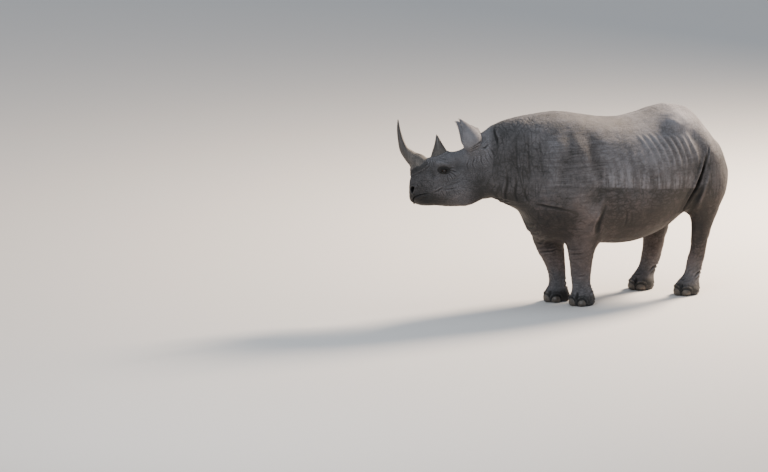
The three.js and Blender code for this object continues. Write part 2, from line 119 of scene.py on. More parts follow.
def lengths(vectors):
    return np.linalg.norm(vectors, axis=1)


def unit(vectors):
    return vectors / lengths(vectors)[:, None]


def turned(a, b, angle):
    """A pair of coordinates seen from axes turned by this angle."""
    return a * math.cos(angle) + b * math.sin(angle), b * math.cos(angle) - a * math.sin(angle)


def eased(table, at):
    """The rows of a table of (place, value, ...) read at other places, through smooth curves."""
    table = np.asarray(table, float)
    places, values = table[:, 0], table[:, 1:]
    slopes = np.gradient(values, places, axis=0)
    at = np.clip(np.asarray(at, float), places[0], places[-1])
    i = np.clip(np.searchsorted(places, at, side="right") - 1, 0, len(places) - 2)
    span = (places[i + 1] - places[i])[:, None]
    t = (at - places[i])[:, None] / span
    return (
        values[i] * (2 * t**3 - 3 * t**2 + 1) + values[i + 1] * (3 * t**2 - 2 * t**3)
        + slopes[i] * span * (t**3 - 2 * t**2 + t) + slopes[i + 1] * span * (t**3 - t**2)
    )


def curve_through(points, count):
    """Points at equal steps along a smooth curve through these, and the curve's direction at each."""
    points = np.array([tuple(p) for p in points], float)
    knots = np.r_[0, np.cumsum(lengths(np.diff(points, axis=0)))]
    table = np.c_[knots, points]
    dense = eased(table, np.linspace(0, knots[-1], 60 * len(points)))
    length = np.r_[0, np.cumsum(lengths(np.diff(dense, axis=0)))]
    where = np.linspace(0, length[-1], count)
    made = np.stack([np.interp(where, length, column) for column in dense.T], 1)
    along = np.gradient(made, axis=0)
    return made, unit(along)


def step(low, high, value):
    t = np.clip((value - low) / (high - low), 0, 1)
    return t * t * (3 - 2 * t)


def hill(distance, width):
    return np.exp(-((distance / width) ** 2))


GRADIENTS = unit(np.random.default_rng(7).normal(size=(512, 3)))
PRIMES = (73856093, 19349663, 83492791)  # these and the next two scatter the cells' whole numbers
SEED_PRIME = 961748927
MIXER = 2246822519


def direction_of(cell, seed):
    """A fixed random direction for each cell, given by whole numbers."""
    key = (cell * PRIMES).sum(1) + seed * SEED_PRIME
    key ^= key >> 15
    return GRADIENTS[(key * MIXER >> 7) % len(GRADIENTS)]


def noise(points, seed=0):
    """Smooth noise of about -1 to 1 at each point, with cells one unit wide."""
    cell = np.floor(points).astype(np.int64)
    part = points - cell
    ease = part**3 * (part * (part * 6 - 15) + 10)
    total = np.zeros(len(points))
    for corner in product((0, 1), repeat=3):
        value = (direction_of(cell + corner, seed) * (part - corner)).sum(1)
        total += value * np.where(corner, ease, 1 - ease).prod(1)
    return total * 1.7


def cracks(points, seed=0):
    """How near each point is to a crack between irregular cells one unit wide: 0 at the crack, up to 1."""
    cell = np.floor(points).astype(np.int64)
    first = np.full(len(points), 9.0)
    second = np.full(len(points), 9.0)
    for offset in product((-1, 0, 1), repeat=3):
        at = cell + offset
        far = lengths(points - (at + 0.5 + 0.45 * direction_of(at, seed)))
        second = np.where(far < first, first, np.minimum(second, far))
        first = np.minimum(first, far)
    return np.clip(second - first, 0, 1)


# ---- Meshes as arrays -----------------------------------------------------------------------------------

TINY = 1e-5  # points closer than this are one point


def object_from(name, vertices, faces):
    mesh = bpy.data.meshes.new(name)
    mesh.from_pydata([tuple(v) for v in vertices], [], [tuple(f) for f in faces])
    smooth(mesh)
    made = bpy.data.objects.new(name, mesh)
    bpy.context.collection.objects.link(made)
    return made


def smooth(mesh):
    mesh.polygons.foreach_set("use_smooth", [True] * len(mesh.polygons))


def read_all(items, name, kind, width=1):
    """The same number or vector of every item, as one array."""
    found = np.empty(len(items) * width, kind)
    items.foreach_get(name, found)
    return found.reshape(-1, width) if width > 1 else found


def points_of(piece):
    return read_all(piece.data.vertices, "co", np.float32, 3).astype(float)


def set_points(piece, points):
    piece.data.vertices.foreach_set("co", points.astype(np.float32).ravel())
    piece.data.update()


def write(piece, name, values):
    """Keeps one number for each vertex, for the materials to read."""
    kept = piece.data.attributes.new(name, "FLOAT", "POINT")
    kept.data.foreach_set("value", np.asarray(values, np.float32))


def normals_of(piece):
    return read_all(piece.data.vertex_normals, "vector", np.float32, 3).astype(float)


class Neighbours:
    """Averages a value over each vertex's neighbours."""

    def __init__(self, piece):
        edges = read_all(piece.data.edges, "vertices", np.int32, 2)
        self.count = len(piece.data.vertices)
        self.ends = np.concatenate([edges[:, 1], edges[:, 0]])
        self.starts = np.concatenate([edges[:, 0], edges[:, 1]])
        self.degree = np.maximum(np.bincount(self.starts, minlength=self.count), 1)

    def mean(self, values):
        flat = values.reshape(self.count, -1)
        total = [np.bincount(self.starts, column[self.ends], self.count) for column in flat.T]
        return (np.stack(total, 1) / self.degree[:, None]).reshape(values.shape)


def relaxed(points, near, passes, back=-0.53):
    """Taubin smoothing: it takes facets out and keeps the volume. A back of 0 is plain smoothing."""
    for _ in range(passes):
        points = points + (near.mean(points) - points) * 0.5
        if back:
            points = points + (near.mean(points) - points) * back
    return points


def applied(piece, kind, **settings):
    """Adds a modifier with these settings and applies it."""
    modifier = piece.modifiers.new(kind.lower(), kind)
    for key, value in settings.items():
        setattr(modifier, key, value)
    with bpy.context.temp_override(object=piece, active_object=piece):
        bpy.ops.object.modifier_apply(modifier=modifier.name)


@contextmanager
def editing(piece):
    """The piece's mesh for bmesh to change, put back when the block ends."""
    mesh = bmesh.new()
    mesh.from_mesh(piece.data)
    yield mesh
    mesh.to_mesh(piece.data)
    mesh.free()


def united(piece, other):
    """Joins a closed piece to another where they meet, and removes the other's object."""
    applied(piece, "BOOLEAN", operation="UNION", solver="MANIFOLD", object=other)
    bpy.data.objects.remove(other)
    with editing(piece) as mesh:
        loose = [v for v in mesh.verts if not v.link_faces]
        bmesh.ops.delete(mesh, geom=loose, context="VERTS")
        bmesh.ops.dissolve_degenerate(mesh, edges=mesh.edges, dist=TINY)


def joined(piece, *others):
    """Makes the others part of the piece's mesh, with nothing welded."""
    bpy.context.view_layer.update()
    every = [piece, *others]
    with bpy.context.temp_override(
        object=piece, active_object=piece, selected_objects=every, selected_editable_objects=every
    ):
        bpy.ops.object.join()


def copy_of(nodes, name, grow=0.0, cuts=None):
    """The meshes of these CAD nodes in one new object, each kept below its cut, a point and a normal."""
    whole = bmesh.new()
    for node in nodes:
        one = bmesh.new()
        one.from_mesh(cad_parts[node].data)
        bmesh.ops.remove_doubles(one, verts=one.verts, dist=TINY)
        one.normal_update()
        for vertex in one.verts:
            vertex.co += vertex.normal * grow
        if cuts:
            parts = one.verts[:] + one.edges[:] + one.faces[:]
            point, normal = cuts[node]
            bmesh.ops.bisect_plane(one, geom=parts, plane_co=point, plane_no=normal, clear_outer=True)
            bmesh.ops.holes_fill(one, edges=one.edges, sides=0)
        part = bpy.data.meshes.new("part")
        one.to_mesh(part)
        one.free()
        whole.from_mesh(part)
        bpy.data.meshes.remove(part)
    mesh = bpy.data.meshes.new(name)
    whole.to_mesh(mesh)
    whole.free()
    made = bpy.data.objects.new(name, mesh)
    bpy.context.collection.objects.link(made)
    return made


def loft(name, rings):
    """A closed mesh through rings of an equal count of points, with a point in the middle of each end."""
    rings = np.asarray(rings)
    count, around = rings.shape[:2]
    vertices = np.concatenate([rings.reshape(-1, 3), rings[[0, -1]].mean(1)])
    a = np.arange(around)
    b = (a + 1) % around
    faces = []
    for low in range(0, (count - 1) * around, around):
        faces += np.stack([low + a, low + b, low + around + b, low + around + a], 1).tolist()
    last, first_middle = (count - 1) * around, count * around
    faces += np.stack([b, a, np.full(around, first_middle)], 1).tolist()
    faces += np.stack([last + a, last + b, np.full(around, first_middle + 1)], 1).tolist()
    return object_from(name, vertices, faces)


def oval(out, across, long, wide, angle):
    """Vectors to the points of an oval, at these angles from its long way."""
    return out * (long * np.cos(angle))[:, None] + across * (wide * np.sin(angle))[:, None]


def surface_of(piece):
    """A tree that finds the nearest points on a piece as it is now, and where rays meet it."""
    mesh = piece.data
    return BVHTree.FromPolygons([v.co for v in mesh.vertices], [p.vertices for p in mesh.polygons])


def distance_to(tree, points, reach):
    """How far each point is from a surface, and the nearest place on it; beyond reach it is infinite."""
    far = np.full(len(points), np.inf)
    places = points.copy()
    for i, point in enumerate(points):
        place, _, _, distance = tree.find_nearest(point, reach)
        if place is not None:
            far[i] = distance
            places[i] = place
    return far, places


def refined(piece, inside):
    """Halves the edges of the faces whose corners are all inside."""
    chosen = inside(points_of(piece))
    with editing(piece) as mesh:
        faces = [f for f in mesh.faces if all(chosen[v.index] for v in f.verts)]
        edges = sorted({e for f in faces for e in f.edges}, key=lambda edge: edge.index)
        bmesh.ops.subdivide_edges(mesh, edges=edges, cuts=1, use_grid_fill=True)
    smooth(piece.data)


# ---- Ears -----------------------------------------------------------------------------------------------
# Each is a cupped leaf, nearly a tube at its root, that opens forwards. Places are (ahead, side, up).

EAR = {
    "root": (-0.251, 0.118, 0.187),
    "tips": {"left": (-0.131, 0.148, 0.431), "right": (-0.089, 0.160, 0.363)},
    # share of the way to the tip, radius, half of the angle that the wall spans
    "rings": [(0, 0.064, 165), (0.14, 0.086, 152), (0.3, 0.094, 136), (0.46, 0.084, 120),
              (0.62, 0.065, 108), (0.78, 0.043, 98), (0.9, 0.024, 88), (1, 0.008, 75)],
    "wall": 0.013,
    "opening": {"left": 6, "right": 24},
}


def ear_axes(side_name):
    """An ear's root, tip and axis, the way that its opening faces, and the way across it."""
    side = SIDES[side_name]
    ahead, out, up = EAR["root"]
    root = in_head(ahead, side * out, up)
    ahead, out, up = EAR["tips"][side_name]
    tip = in_head(ahead, side * out, up)
    axis = (tip - root).normalized()
    forwards = (HEAD_AHEAD - axis * HEAD_AHEAD.dot(axis)).normalized()
    forwards.rotate(Matrix.Rotation(math.radians(-side * EAR["opening"][side_name]), 3, axis))
    return root, tip, axis, forwards, axis.cross(forwards)


def from_ear(side_name, points):
    """How far points lie along an ear from its root, and their vectors out from its axis."""
    root, _, axis, _, _ = (np.array(v) for v in ear_axes(side_name))
    away = points - root
    rise = away @ axis
    return rise, away - rise[:, None] * axis


def ear(side_name, steps=84, arc_steps=96, cap_steps=7):
    """An ear as a wall of flesh rolled round its axis, in rings from its root to its tip."""
    root, tip, _, forwards, across = (np.array(v) for v in ear_axes(side_name))
    shares = np.linspace(0, 1, steps)
    rings = []
    for share, (radius, spread) in zip(shares, eased(EAR["rings"], shares)):
        half = min(EAR["wall"], radius * 0.6) / 2 * (1 - 0.3 * share)
        spread = math.radians(spread)
        arc = np.linspace(-spread, spread, arc_steps)
        turn = np.linspace(0, math.pi, cap_steps + 2)[1:-1]
        middle = radius - half
        ribs = 0.0022 * np.cos(arc * 7) * step(0.1, 0.4, share) * (1 - step(0.7, 0.95, share))
        end = np.full(cap_steps, spread)
        angle = np.concatenate([
            arc, end + half * np.sin(turn) / middle, arc[::-1], -end - half * np.sin(turn[::-1]) / middle
        ])
        roll = 1 + 0.25 * np.sin(turn)
        far = np.concatenate([
            np.full(arc_steps, middle + half), middle + half * np.cos(turn) * roll,
            middle - half + ribs[::-1], middle + half * np.cos(turn[::-1]) * roll
        ])
        centre = root + (tip - root) * share
        ring = forwards * (far * np.cos(math.pi + angle))[:, None]
        rings.append(centre + ring + across * (far * np.sin(math.pi + angle))[:, None])
    return loft("ear_" + side_name, rings)


# ---- Tail -----------------------------------------------------------------------------------------------

TAIL = {
    "path": [(1.240, 0, 1.330), (1.323, 0.002, 1.232), (1.374, 0.006, 1.110), (1.388, 0.012, 0.975),
             (1.380, 0.018, 0.840), (1.360, 0.024, 0.720), (1.338, 0.028, 0.615)],
    "flesh": [(0, 0.046, 0.050), (0.12, 0.038, 0.040), (0.3, 0.027, 0.028), (0.5, 0.020, 0.022),
              (0.68, 0.015, 0.018), (0.84, 0.009, 0.013)],
}


def tail_line(count=400):
    return curve_through([in_body(*place) for place in TAIL["path"]], count)


def tail(around=36, steps=150):
    """The tail's flesh, in rings along its line."""
    line, along = tail_line()
    shares = np.linspace(0, TAIL["flesh"][-1][0], steps)
    rows = (shares * (len(line) - 1)).round().astype(int)
    angle = np.linspace(0, 2 * math.pi, around, endpoint=False)
    across = np.array([0.0, 1.0, 0.0])
    rings = []
    for row, (long, wide) in zip(rows, eased(TAIL["flesh"], shares)):
        out = np.cross(across, along[row])
        out /= np.linalg.norm(out)
        rings.append(line[row] + oval(out, across, long, wide, angle))
    return loft("tail_skin", rings)


# ---- Horns ----------------------------------------------------------------------------------------------
# A path holds (ahead, up) in the head's middle plane; rings hold (share, half length, half width).

HORNS = {
    "horn_front": {
        "path": [(0.197, 0.001), (0.229, 0.051), (0.283, 0.097), (0.330, 0.150), (0.363, 0.240),
                 (0.379, 0.325), (0.383, 0.409)],
        "rings": [(0, 0.104, 0.082), (0.12, 0.080, 0.066), (0.22, 0.060, 0.054), (0.34, 0.047, 0.044),
                  (0.47, 0.037, 0.036), (0.64, 0.024, 0.024), (0.8, 0.015, 0.015), (0.93, 0.008, 0.008),
                  (1, 0.003, 0.003)],
        "seat": {"ahead": 0.207, "up": -0.003, "pitch": 33, "rise": 0.045},
    },
    "horn_rear": {
        "path": [(0.041, 0.095), (0.046, 0.140), (0.055, 0.210), (0.066, 0.281)],
        "rings": [(0, 0.080, 0.056), (0.25, 0.060, 0.045), (0.45, 0.043, 0.034), (0.64, 0.028, 0.025),
                  (0.82, 0.016, 0.015), (0.95, 0.008, 0.008), (1, 0.003, 0.003)],
        "seat": {"ahead": 0.047, "up": 0.087, "pitch": 21, "rise": 0.033},
    },
}


def seat_of(horn_name):
    """The middle of the skin under a horn, and the way that the skin faces there."""
    seat = HORNS[horn_name]["seat"]
    pitch = math.radians(seat["pitch"])
    out = HEAD_AHEAD * math.sin(pitch) + UP * math.cos(pitch)
    return in_head(seat["ahead"], 0, seat["up"]) + out * seat["rise"], out


def horn(name, around=180, steps=260):
    """A horn in rings along its line, with ridges of fibre."""
    shape = HORNS[name]
    line, along = curve_through([in_head(ahead, 0, up) for ahead, up in shape["path"]], steps)
    shares = np.linspace(0, 1, steps)
    angle = np.linspace(0, 2 * math.pi, around, endpoint=False)
    across = np.array(HEAD_SIDE)
    length = lengths(np.diff(line, axis=0)).sum()
    rings = []
    for share, middle, way, (long, wide) in zip(shares, line, along, eased(shape["rings"], shares)):
        ring = oval(np.cross(across, way), across, long, wide, angle)
        turn = np.stack([np.cos(angle) * 9, np.sin(angle) * 9, np.full(around, share * length * 9)], 1)
        fibre = noise(turn, 11) + 0.6 * noise(turn * (2.3, 2.3, 1.6), 12)
        fibre += 0.4 * noise(turn * (5, 5, 2.5), 13)
        low = 1 - step(0.05, 0.5, share)
        ridge = fibre * (0.0005 + 0.0020 * low) * min(1, long / 0.02)
        ring *= (1 + ridge / lengths(ring))[:, None]
        rings.append(middle + ring)
    made = loft(name + "_keratin", rings)
    points = points_of(made)
    near = Neighbours(made)
    write(made, "share", np.r_[np.repeat(shares, around), 0, 1])
    curve = ((near.mean(points) - points) * normals_of(made)).sum(1)
    # Raised fibres get lighter and the grooves between them darker: wear, and painted shade in the grooves.
    write(made, "wear_and_hollow_shade", np.clip(0.5 - curve / 0.0012, 0, 1))
    return made


# ---- Skin -----------------------------------------------------------------------------------------------

# From under the tip of the lip, round it and back to the corner: (ahead, side, up).
MOUTH = [(0.243, 0.0, -0.292), (0.250, 0.030, -0.278), (0.258, 0.058, -0.252), (0.250, 0.078, -0.224),
         (0.205, 0.088, -0.202), (0.150, 0.093, -0.196), (0.100, 0.100, -0.190)]

FLESH = ["trunk", "neck", "head"] + [f"{part}_{leg}" for leg in LEGS for part in ("leg", "foot")]
NAILS = [f"nail_{leg}_{which}" for leg in LEGS for which in ("inner", "middle", "outer")]

COARSE = 0.016  # voxel of the first remesh, which joins the nodes of flesh
FINE = 0.006    # voxel of the skin
SOLE = 0.0006   # the skin's lowest point


def face_axes(points, side):
    """Each point's (ahead, outwards, up) in the head's axes, for one side of the face."""
    away = points - np.array(MID_EYES)
    return away @ np.array(HEAD_AHEAD), side * (away @ np.array(HEAD_SIDE)), away[:, 2]


def head_part(points):
    """The share of each point that belongs to the head, rather than the neck."""
    return step(-0.42, -0.36, face_axes(points, 1)[0])


def torso_part(points):
    """The share of each point that belongs to the trunk and neck, which are smoothed more than the rest."""
    return step(-0.22, -0.42, face_axes(points, 1)[0]) * step(0.50, 0.75, points[:, 2])


def calmed(piece, passes):
    """Smooths all of a piece, and keeps its volume."""
    set_points(piece, relaxed(points_of(piece), Neighbours(piece), passes))


def base_skin():
    """The solids of flesh as one smooth skin, with the hollows of nails, eyes and horns filled in."""
    body = copy_of(FLESH, "skin", grow=0.0008)
    plugs = copy_of(NAILS, "nail_plugs", grow=-0.004)
    balls = copy_of(["eye_left", "eye_right"], "eye_plugs", grow=-0.004)
    seats = copy_of(HORNS, "horn_plugs", cuts={name: seat_of(name) for name in HORNS})
    joined(body, plugs, balls, seats)
    applied(body, "REMESH", mode="VOXEL", voxel_size=COARSE)
    points = points_of(body)
    soft = relaxed(points, Neighbours(body), 160, back=-0.51)
    firm = relaxed(points, Neighbours(body), 30)
    set_points(body, firm + (soft - firm) * torso_part(points)[:, None])
    applied(body, "SUBSURF", levels=1, subdivision_type="CATMULL_CLARK")
    calmed(body, 12)
    applied(body, "REMESH", mode="VOXEL", voxel_size=FINE)
    calmed(body, 3)
    refined(body, lambda points: head_part(points) > 0.5)
    calmed(body, 3)
    for one in (ear("left"), ear("right"), tail()):
        united(body, one)
    refined(body, near_openings)
    refined(body, lambda points: to_eyes(points) < LIDS["mound"])
    smooth(body.data)
    set_points(body, seams_calmed(points_of(body), Neighbours(body), 10))
    return body


def near_seams(points):
    """The share of smoothing where the ears and the tail grow out of the body."""
    share = np.zeros(len(points))
    for side_name in SIDES:
        rise, spoke = from_ear(side_name, points)
        out = lengths(spoke)
        share = np.maximum(share, step(0.055, 0.030, rise) * step(0.13, 0.10, out) * step(-0.10, -0.05, rise))
    root = np.array(in_body(*TAIL["path"][0]))
    return np.maximum(share, step(0.12, 0.07, lengths(points - root)))


def seams_calmed(points, near, passes):
    """The points, smoothed at those seams."""
    calm = relaxed(points, near, passes, back=0)
    return points + (calm - points) * near_seams(points)[:, None]


def near_openings(points):
    """True by the eyes, nostrils and mouth."""
    close = np.zeros(len(points), bool)
    for side in SIDES.values():
        for (ahead, out, up), reach in (((0, 0.126, 0), 0.075), ((0.272, 0.080, -0.160), 0.055)):
            close |= lengths(points - np.array(in_head(ahead, side * out, up))) < reach
        line = np.array([tuple(in_head(a, side * o, u)) for a, o, u in MOUTH])
        for start, end in zip(line[:-1], line[1:]):
            close |= lengths(points - (start + end) / 2) < 0.032
    return close


def to_eyes(points):
    """How far each point is from the nearer eye's centre."""
    return np.min([lengths(points - np.array(centre)) for centre in EYES.values()], axis=0)


# ---- Sculpture ------------------------------------------------------------------------------------------


SHADED = 0.012  # folds less deep than this also get fainter painted shade


class Sculpture:
    """The skin while folds are pressed into it. Heights add up along the smooth skin's own normals."""

    def __init__(self, piece):
        self.piece = piece
        self.near = Neighbours(piece)
        self.points = points_of(piece)
        self.begin()
        self.broad = relaxed(self.normals, self.near, 40, back=0)
        # Painted shade for the creases and hollows, which the material darkens the skin by
        self.crease_shade = np.zeros(len(self.points))
        self.crest = np.zeros(len(self.points))

    def begin(self):
        normals = relaxed(normals_of(self.piece), self.near, 8, back=0)
        self.normals = normals / np.maximum(lengths(normals), 1e-9)[:, None]
        self.height = np.zeros(len(self.points))
        self.tree = BVHTree.FromObject(self.piece, bpy.context.evaluated_depsgraph_get())

    def settle(self):
        """Moves the points by the heights gathered so far, and starts again from there."""
        self.points = self.points + self.normals * self.height[:, None]
        set_points(self.piece, self.points)
        bpy.context.view_layer.update()
        self.begin()

    def on_skin(self, point):
        return self.tree.find_nearest(point)[0]

    def on_flank(self, side, station, height, outside=1.2):
        """Where a level ray from outside meets the side of the body."""
        start = in_body(station, side * outside, height)
        hit = self.tree.ray_cast(start, Vector((0, -side, 0)))[0]
        return hit if hit is not None else self.on_skin(start)

    def on_face(self, side, ahead, up, outside=0.6):
        """Where a level ray square to the head meets the side of the face."""
        start = in_head(ahead, side * outside, up)
        hit = self.tree.ray_cast(start, HEAD_SIDE * -side)[0]
        return hit if hit is not None else self.on_skin(start)

    def along_flank(self, side, *places):
        return [self.on_flank(side, station, height) for station, height in places]

    def along_face(self, side, *places):
        return [self.on_face(side, ahead, up) for ahead, up in places]

    def close_to(self, line, reach):
        """The rows within reach of a line, their distances, their places along it from 0 to 1 and offsets."""
        low, high = line.min(0) - reach, line.max(0) + reach
        rows = np.nonzero(((self.points > low) & (self.points < high)).all(1))[0]
        best = np.full(len(rows), np.inf)
        along = np.zeros(len(rows))
        offset = np.zeros((len(rows), 3))
        spans = len(line) - 1
        for i in range(spans):
            way = line[i + 1] - line[i]
            away = self.points[rows] - line[i]
            t = np.clip(away @ way / (way @ way), 0, 1)
            rest = away - t[:, None] * way
            far = lengths(rest)
            closer = far < best
            best[closer] = far[closer]
            along[closer] = (i + t[closer]) / spans
            offset[closer] = rest[closer]
        keep = best < reach
        return rows[keep], best[keep], along[keep], offset[keep]

    def fold(self, places, width, depth, lip=0.0, over=None, taper=0.3, shade=1.0, flare=1.0):
        """A groove along a line of places, with painted shade set by `shade`. Its lips stand up on both
        sides, or on the side `over` faces. It widens by `flare` towards its end."""
        line, _ = curve_through(places, max(12, 6 * len(places)))
        rows, far, along, offset = self.close_to(line, width * 5 * max(1, flare))
        far = far / (1 + (flare - 1) * along)
        head, foot = taper if isinstance(taper, tuple) else (taper, taper)
        fade = step(-1e-6, head, along) * step(-1e-6, foot, 1 - along)
        uneven = 1 + 0.35 * noise(self.points[rows] * (0.6 / max(width * 3, 0.02)), 31)
        rise = -depth * hill(far, width)
        side = 1.0
        if over is not None:
            side = step(-0.5 * width, 0.8 * width, offset @ np.array(over))
            rise *= 1 - 0.25 * side
        rise += lip * side * hill(far - 2.0 * width, 1.3 * width)
        self.height[rows] += rise * fade * uneven
        shade *= min(1, depth / SHADED)
        self.darken(rows, shade * hill(far, width * 0.9) * fade)

    def darken(self, rows, shade):
        """Keeps the deeper shade of the creases that cross."""
        self.crease_shade[rows] = np.maximum(self.crease_shade[rows], shade)

    def strokes(self, place, count, spread, width, depth, seed):
        """Short uneven creases side by side: `place(across, along)` gives the skin at two shares, 0 to 1."""
        random = np.random.default_rng(seed)
        for i in range(count):
            across = (i + random.uniform(-0.35, 0.35)) / max(count - 1, 1)
            start, end = random.uniform(0, 0.35), random.uniform(0.6, 1)
            lean, bow = random.normal(0, spread), random.normal(0, spread)
            shares = ((across - lean, start), (across + bow, (start + end) / 2), (across + lean, end))
            size = random.uniform(0.5, 1.1)
            places = [place(a, b) for a, b in shares]
            wide = width * random.uniform(0.8, 1.2)
            self.fold(places, wide, depth * size, lip=depth * size * 0.5, shade=0.6)

    def ridge(self, places, width, height, taper=0.35):
        """A soft ridge, or a soft valley where its height is negative."""
        line, _ = curve_through(places, max(12, 6 * len(places)))
        rows, far, along, _ = self.close_to(line, width * 3)
        fade = step(0, taper, along) * step(0, taper, 1 - along)
        self.raise_by(rows, height * hill(far, width) * fade)

    def mound(self, place, radius, height):
        rows, far, _, _ = self.close_to(np.array([tuple(place), tuple(place + UP * 1e-4)]), radius * 3)
        self.raise_by(rows, height * hill(far, radius))

    def raise_by(self, rows, rise):
        self.height[rows] += rise
        self.crest[rows] += rise

    def wrinkles(self, share, cell, depth, seed, thin=0.11, bend=0.35):
        """Fine creases between irregular cells; `cell` gives their breadths, (x, y, z) in metres."""
        rows = np.nonzero(share > 0.02)[0]
        places = self.points[rows] / np.asarray(cell, float)
        places += bend * np.stack([noise(places * 0.9 + 7.3 * k, seed + k) for k in range(3)], 1)
        line = hill(cracks(places, seed), thin)
        strong = share[rows] * (0.3 + 0.7 * step(-0.7, 0.35, noise(self.points[rows] * 6, seed + 4)))
        self.height[rows] -= depth * line * strong
        # Painted shade along the fine creases.
        self.darken(rows, 0.16 * line * strong)


# Eyelids, in metres from the eye's centre: the opening's half length and heights, and the lids' thickness.
LIDS = {"half": 0.0215, "upper": 0.0115, "lower": 0.0085, "thick": 0.0035, "tilt": 10, "mound": 0.048}
# Creases round it: distance from the opening, width, depth, and how strong each is on the lower lid.
LID_RINGS = ((0.0095, 0.0020, 0.0028, 0.4), (0.0165, 0.0022, 0.0015, 1.0), (0.0250, 0.0034, 0.0008, 0.8),
             (0.0350, 0.0050, 0.0005, 0.7))


def lid_opening(a, v):
    """How far places on the lids, ahead and above the eye's middle, are outside the almond opening."""
    half = LIDS["half"]
    bow = np.clip(1 - (a / half) ** 2, 0, 1)
    above = v - LIDS["upper"] * bow**0.7
    below = -LIDS["lower"] * bow**0.8 - v
    return np.where(abs(a) > half, np.hypot(abs(a) - half, v), np.maximum(above, below))


def press_eye(clay, side_name):
    """Lids drawn over the eyeball, with an almond opening, rolled rims and rings of creases."""
    centre, radius, gaze = eye_axes(side_name)
    gaze = np.array(gaze)
    ahead = np.cross(np.array(UP), gaze) * SIDES[side_name]
    ahead /= np.linalg.norm(ahead)
    if ahead @ np.array(HEAD_AHEAD) < 0:
        ahead = -ahead
    away = clay.points - np.array(centre)
    rows = np.nonzero((lengths(away) < 0.095) & (away @ gaze > -0.005))[0]
    away = away[rows]
    a, v, w = away @ ahead, away[:, 2], away @ gaze
    far = np.hypot(a, v)
    shell = radius + LIDS["thick"]
    flat = 0.021
    dome = np.sqrt(shell**2 - np.minimum(far, flat) ** 2) - np.maximum(0, far - flat) * 0.75
    w = w + (np.maximum(dome, w) - w) * (1 - step(0.020, LIDS["mound"], far))
    a, v = turned(a, v, -math.radians(LIDS["tilt"]))
    out = lid_opening(a, v)
    upper = step(-0.004, 0.004, v)
    wave = 1 + 0.4 * noise(clay.points[rows] * 60, 41)
    w += 0.0018 * hill(out - 0.0030, 0.0030)
    shade = np.zeros(len(rows))
    for place, width, depth, under in LID_RINGS:
        share = upper + (1 - upper) * under
        broken = step(-0.35, 0.25, noise(clay.points[rows] * 34, int(place * 1e4)))
        groove = hill(out - place * (0.9 + 0.16 * wave), width) * share * wave * (0.25 + 0.75 * broken)
        w -= depth * groove
        shade = np.maximum(shade, 0.5 * groove * (0.0100 / place))
    w += 0.0030 * hill(out - 0.0135, 0.0035) * upper
    w -= 0.016 * step(0.0, 0.0028, -out)
    shade = np.maximum(shade, step(0.0045, 0.0, out))
    clay.points[rows] += gaze * (w - away @ gaze)[:, None]
    clay.darken(rows, shade)
    set_points(clay.piece, clay.points)


def crow_feet(clay, side):
    """Creases that fan out behind and below the eye, and the tear groove before it."""
    start = 0.036
    for angle, reach in ((150, 0.050), (172, 0.066), (192, 0.080), (213, 0.072), (238, 0.055), (268, 0.045)):
        turn = math.radians(angle)
        places = []
        for far in (start, start + reach * 0.5, start + reach):
            bend = turn + 0.25 * (far - start) / reach
            places.append(clay.on_face(side, math.cos(bend) * far, math.sin(bend) * far))
        clay.fold(places, 0.0050, 0.0034, lip=0.0022, shade=0.6)
    tear = clay.along_face(side, (0.026, -0.008), (0.045, -0.024), (0.066, -0.048))
    clay.fold(tear, 0.0040, 0.0022, lip=0.0010, shade=0.7)


def face_forms(clay, side):
    """Bones and muscles under the skin of one side of the face."""
    face = partial(clay.along_face, side)
    clay.ridge(face((0.105, 0.070), (0.045, 0.064), (-0.02, 0.052), (-0.075, 0.028)), 0.020, 0.009)
    clay.ridge(face((0.085, -0.050), (0.0, -0.062), (-0.09, -0.030), (-0.18, 0.030)), 0.026, 0.007)
    clay.ridge(face((0.17, 0.02), (0.11, -0.02), (0.06, -0.075)), 0.030, -0.007)
    clay.mound(clay.on_face(side, -0.115, 0.055), 0.045, -0.010)
    clay.mound(clay.on_face(side, -0.12, -0.13), 0.080, 0.008)
    clay.mound(clay.on_face(side, 0.225, -0.075), 0.040, 0.006)


def face_folds(clay, side):
    """The creases of one side of the face."""
    face = partial(clay.along_face, side)
    # The fold that runs on from the corner of the mouth over the cheek.
    clay.fold(face((0.110, -0.190), (0.070, -0.176), (0.030, -0.150), (0.0, -0.132)),
              0.0070, 0.0040, lip=0.0030, over=UP, taper=0.35, shade=0.4)
    clay.fold(face((0.020, -0.138), (-0.050, -0.112), (-0.110, -0.092), (-0.165, -0.064)),
              0.0080, 0.0028, lip=0.0024, over=UP, taper=0.45, shade=0.3)
    clay.fold(face((0.020, -0.160), (-0.060, -0.145), (-0.140, -0.125)),
              0.0060, 0.0022, lip=0.0016, shade=0.5)
    # Round the back of the nostril, and shorter ones behind it.
    for i, (back, strong) in enumerate(((0.230, 0.8), (0.196, 0.45))):
        arc = face((back + 0.018, -0.100 + 0.016 * i), (back - 0.008, -0.132),
                   (back + 0.004, -0.180 + 0.01 * i))
        clay.fold(arc, 0.0065, 0.0045 * strong, lip=0.0032 * strong, over=HEAD_AHEAD, taper=0.45, shade=0.5)
    # Across the bridge of the nose, between the horns, and over the brow.
    clay.strokes(lambda a, b: clay.on_face(side, 0.155 - 0.055 * a - 0.02 * b, 0.015 + 0.075 * b),
                 4, 0.05, 0.0050, 0.0026, 211)
    for rise, run in ((0.0, 1.0), (0.020, 0.8)):
        arc = face((0.055, 0.080 + rise), (0.0, 0.074 + rise), (-0.060 * run, 0.058 + rise))
        clay.fold(arc, 0.0055, 0.0026, lip=0.0018, shade=0.6)
    # Down the cheek, round the corner of the mouth and under the lower lip.
    clay.strokes(lambda a, b: clay.on_face(side, 0.090 - 0.17 * a - 0.02 * b, -0.125 - 0.02 * a - 0.11 * b),
                 6, 0.07, 0.0060, 0.0024, 212)
    clay.strokes(lambda a, b: clay.on_face(side, 0.215 - 0.11 * b, -0.226 - 0.045 * a),
                 3, 0.12, 0.0055, 0.0028, 213)


